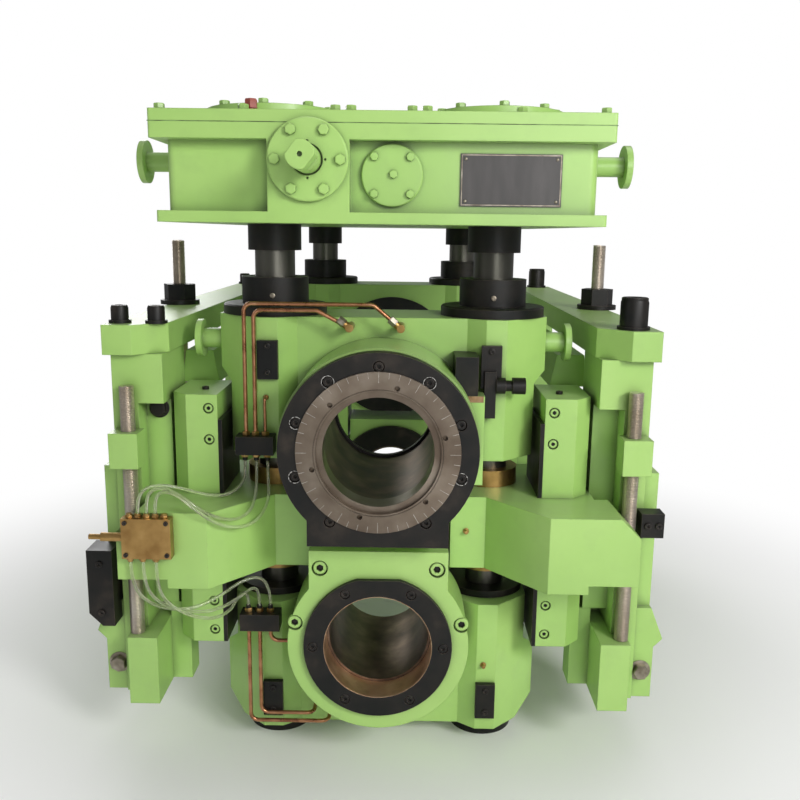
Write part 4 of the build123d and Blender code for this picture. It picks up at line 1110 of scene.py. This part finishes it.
grow_pieces(
    "upper_block_unions", hexagon_heads,
    upright_row(hose_ports, manifold_y, 0.636, -1) + upright_row(upper_pipe_ports, manifold_y, 0.672),
    union_size, brass, "upper_chocks",
)
grow_pieces(
    "lower_block_unions", hexagon_heads,
    upright_row(hose_ports, manifold_y, 0.307) + upright_row(hose_ports, manifold_y, 0.272, -1),
    union_size, brass, "lower_chocks",
)


# Gearbox
# A welded green case with a bolted lid, round caps over the screws and covers over the shaft ends.
# All its bolts are painted over with the case.
lid_top_z = 1.266
lid_bolt_x = (-0.390, -0.243, -0.082, -0.055, 0.052, 0.078, 0.243, 0.390)
lid_side_y = (-0.55, -0.33, -0.11, 0.11, 0.33, 0.55)
lid_side_x = 0.390
lid_end_y = -0.716
cap_places = [(x, y) for x in (-0.22, 0.22) for y in (-0.53, 0.53)]
cap_bolt_r = 0.110
cap_top_z = 1.288
shaft_x = -0.128
shaft_z = 1.182
shaft_end_y = -0.859
shaft_centre_r = 0.0042
shaft_centre_depth = 0.010
shaft_cover_y = -0.752
cover_bolt_ring_r = 0.057
jack_ring_r = 0.031
jack_hole_r = 0.0022
jack_hole_depth = 0.006
small_cover_y = -0.716
small_cover_places = [(0.018 + across * 0.032, 1.159 + up * 0.032) for across in (-1, 1) for up in (-1, 1)]
small_cover_middle = (0.020, 1.161)

lid_spots = both_ends(upright_row(lid_bolt_x, lid_end_y, lid_top_z))
for side in (-1, 1):
    lid_spots += [((side * lid_side_x, y, lid_top_z), (0, 0, 1)) for y in lid_side_y]
grow_pieces(
    "lid_bolt_heads", hexagon_heads, lid_spots, hexagon_sizes(0.0098, 0.0085, 0.0125, 0.0022), enamel,
    "stand",
)
cap_spots = [
    ((x + cap_bolt_r * cos(radians(turn)), y + cap_bolt_r * sin(radians(turn)), cap_top_z), (0, 0, 1))
    for x, y in cap_places for turn in range(-90, 270, 45)
]
grow_pieces(
    "cap_bolt_heads", hexagon_heads, cap_spots, hexagon_sizes(0.0098, 0.0080, 0.0120, 0.0015), enamel,
    "stand",
)
grow_pieces(
    "shaft_cover_bolts", hexagon_heads,
    both_ends(around(cover_bolt_ring_r, range(0, 360, 60), shaft_cover_y, shaft_z, shaft_x)),
    hexagon_sizes(0.0100, 0.0080, 0.0092), enamel, "stand",
)
grow_pieces(
    "small_cover_bolts", hexagon_heads,
    both_ends(facing_front(small_cover_places + [small_cover_middle], small_cover_y)),
    hexagon_sizes(0.0080, 0.0062, 0.0074), enamel, "stand",
)
bored_copy(
    "bored_input_shaft", "input_shaft", both_ends(facing_front([(shaft_x, shaft_z)], shaft_end_y)),
    shaft_centre_r, shaft_centre_depth, "input_shaft", 20,
)
bored_copy(
    "bored_shaft_covers", "input_bearing_covers",
    both_ends(around(jack_ring_r, range(0, 360, 90), shaft_cover_y, shaft_z, shaft_x)),
    jack_hole_r, jack_hole_depth, "stand", 16,
)


# Lid joint
# Dark sealing paste has squeezed out of the joint between the lid and the case.
# It shows as a thin line all round, just under the lid.
joint_z = 1.2450
joint_half = (0.4063, 0.7403)
joint_wall = 0.0012
joint_rise = 0.0006
seal_shape = bmesh.new()
close_rims(seal_shape, [
    [
        seal_shape.verts.new((x_side * (joint_half[0] + grow), y_side * (joint_half[1] + grow), joint_z + rise))
        for x_side, y_side in ((-1, -1), (1, -1), (1, 1), (-1, 1))
    ]
    for grow, rise in (
        (0, -joint_rise), (0, joint_rise), (-joint_wall, joint_rise), (-joint_wall, -joint_rise),
    )
])
seal_paste = tinted_finish(
    "joint_paste", [(0.42, (0.035, 0.055, 0.02)), (0.62, (0.20, 0.33, 0.11))], 30.0, 6.0, Roughness=0.6,
)
seal = finish_piece("lid_joint", seal_shape, seal_paste)
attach(seal, "stand")


# Plate and breather
# A bare dark plate with a bright edge is riveted to the front wall, with nothing written on it.
# A red plastic breather stands on the lid beside the left cap.
(plate_x0, plate_z0), (plate_x1, plate_z1) = (0.139, 1.1075), (0.319, 1.1985)
plate_front_y = -0.709
edge_inset = (0.0015, 0.0032)
edge_y = (plate_front_y + 0.0002, plate_front_y - 0.0004)
rivet_inset = 0.009
breather_place = (-0.232, -0.700, lid_top_z)

plate_satin = tinted_finish("satin_plate", [
    (0.35, (0.044, 0.040, 0.039)), (0.70, (0.068, 0.062, 0.060)),
], 40.0, 6.0, (1, 1, 0.2), Roughness=0.42, Metallic=0.10)
coat(plate_satin, "name_plate")
rim_shape = bmesh.new()
close_rims(rim_shape, [
    [
        rim_shape.verts.new((x, y, z)) for x, z in (
            (plate_x0 + inset, plate_z0 + inset), (plate_x1 - inset, plate_z0 + inset),
            (plate_x1 - inset, plate_z1 - inset), (plate_x0 + inset, plate_z1 - inset),
        )
    ]
    for inset, y in (
        (edge_inset[0], edge_y[0]), (edge_inset[0], edge_y[1]),
        (edge_inset[1], edge_y[1]), (edge_inset[1], edge_y[0]),
    )
])
plate_rim = finish_piece("plate_edge", rim_shape, zinc)
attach(plate_rim, "stand")


def rivet_tree():
    tree, given = start_tree("round_rivet", ("Radius", "Height"))
    ball = add_node(tree, "GeometryNodeMeshUVSphere", {"Segments": 20, "Rings": 12, "Radius": 1.0})
    size = add_node(tree, "ShaderNodeCombineXYZ", {
        "X": given["Radius"], "Y": given["Radius"], "Z": given["Height"],
    })
    dome = add_node(tree, "GeometryNodeTransform", {
        "Geometry": ball, "Scale": size,
    })
    return end_tree(tree, given, dome, 0.0)


round_rivets = rivet_tree()
grow_pieces(
    "plate_rivets", round_rivets,
    facing_front([
        (x, z) for x in (plate_x0 + rivet_inset, plate_x1 - rivet_inset)
        for z in (plate_z0 + rivet_inset, plate_z1 - rivet_inset)
    ], plate_front_y),
    {"Radius": 0.0030, "Height": 0.0016}, zinc, "stand",
)
red_plastic = tinted_finish(
    "red_plastic", [(0.35, (0.26, 0.045, 0.030)), (0.70, (0.40, 0.075, 0.045))], 90.0, 4.0, Roughness=0.45,
)
grow_pieces(
    "breather_cap", hexagon_heads, [(breather_place, (0, 0, 1))],
    hexagon_sizes(0.0115, 0.016, 0.0080, 0.006), red_plastic, "stand",
)
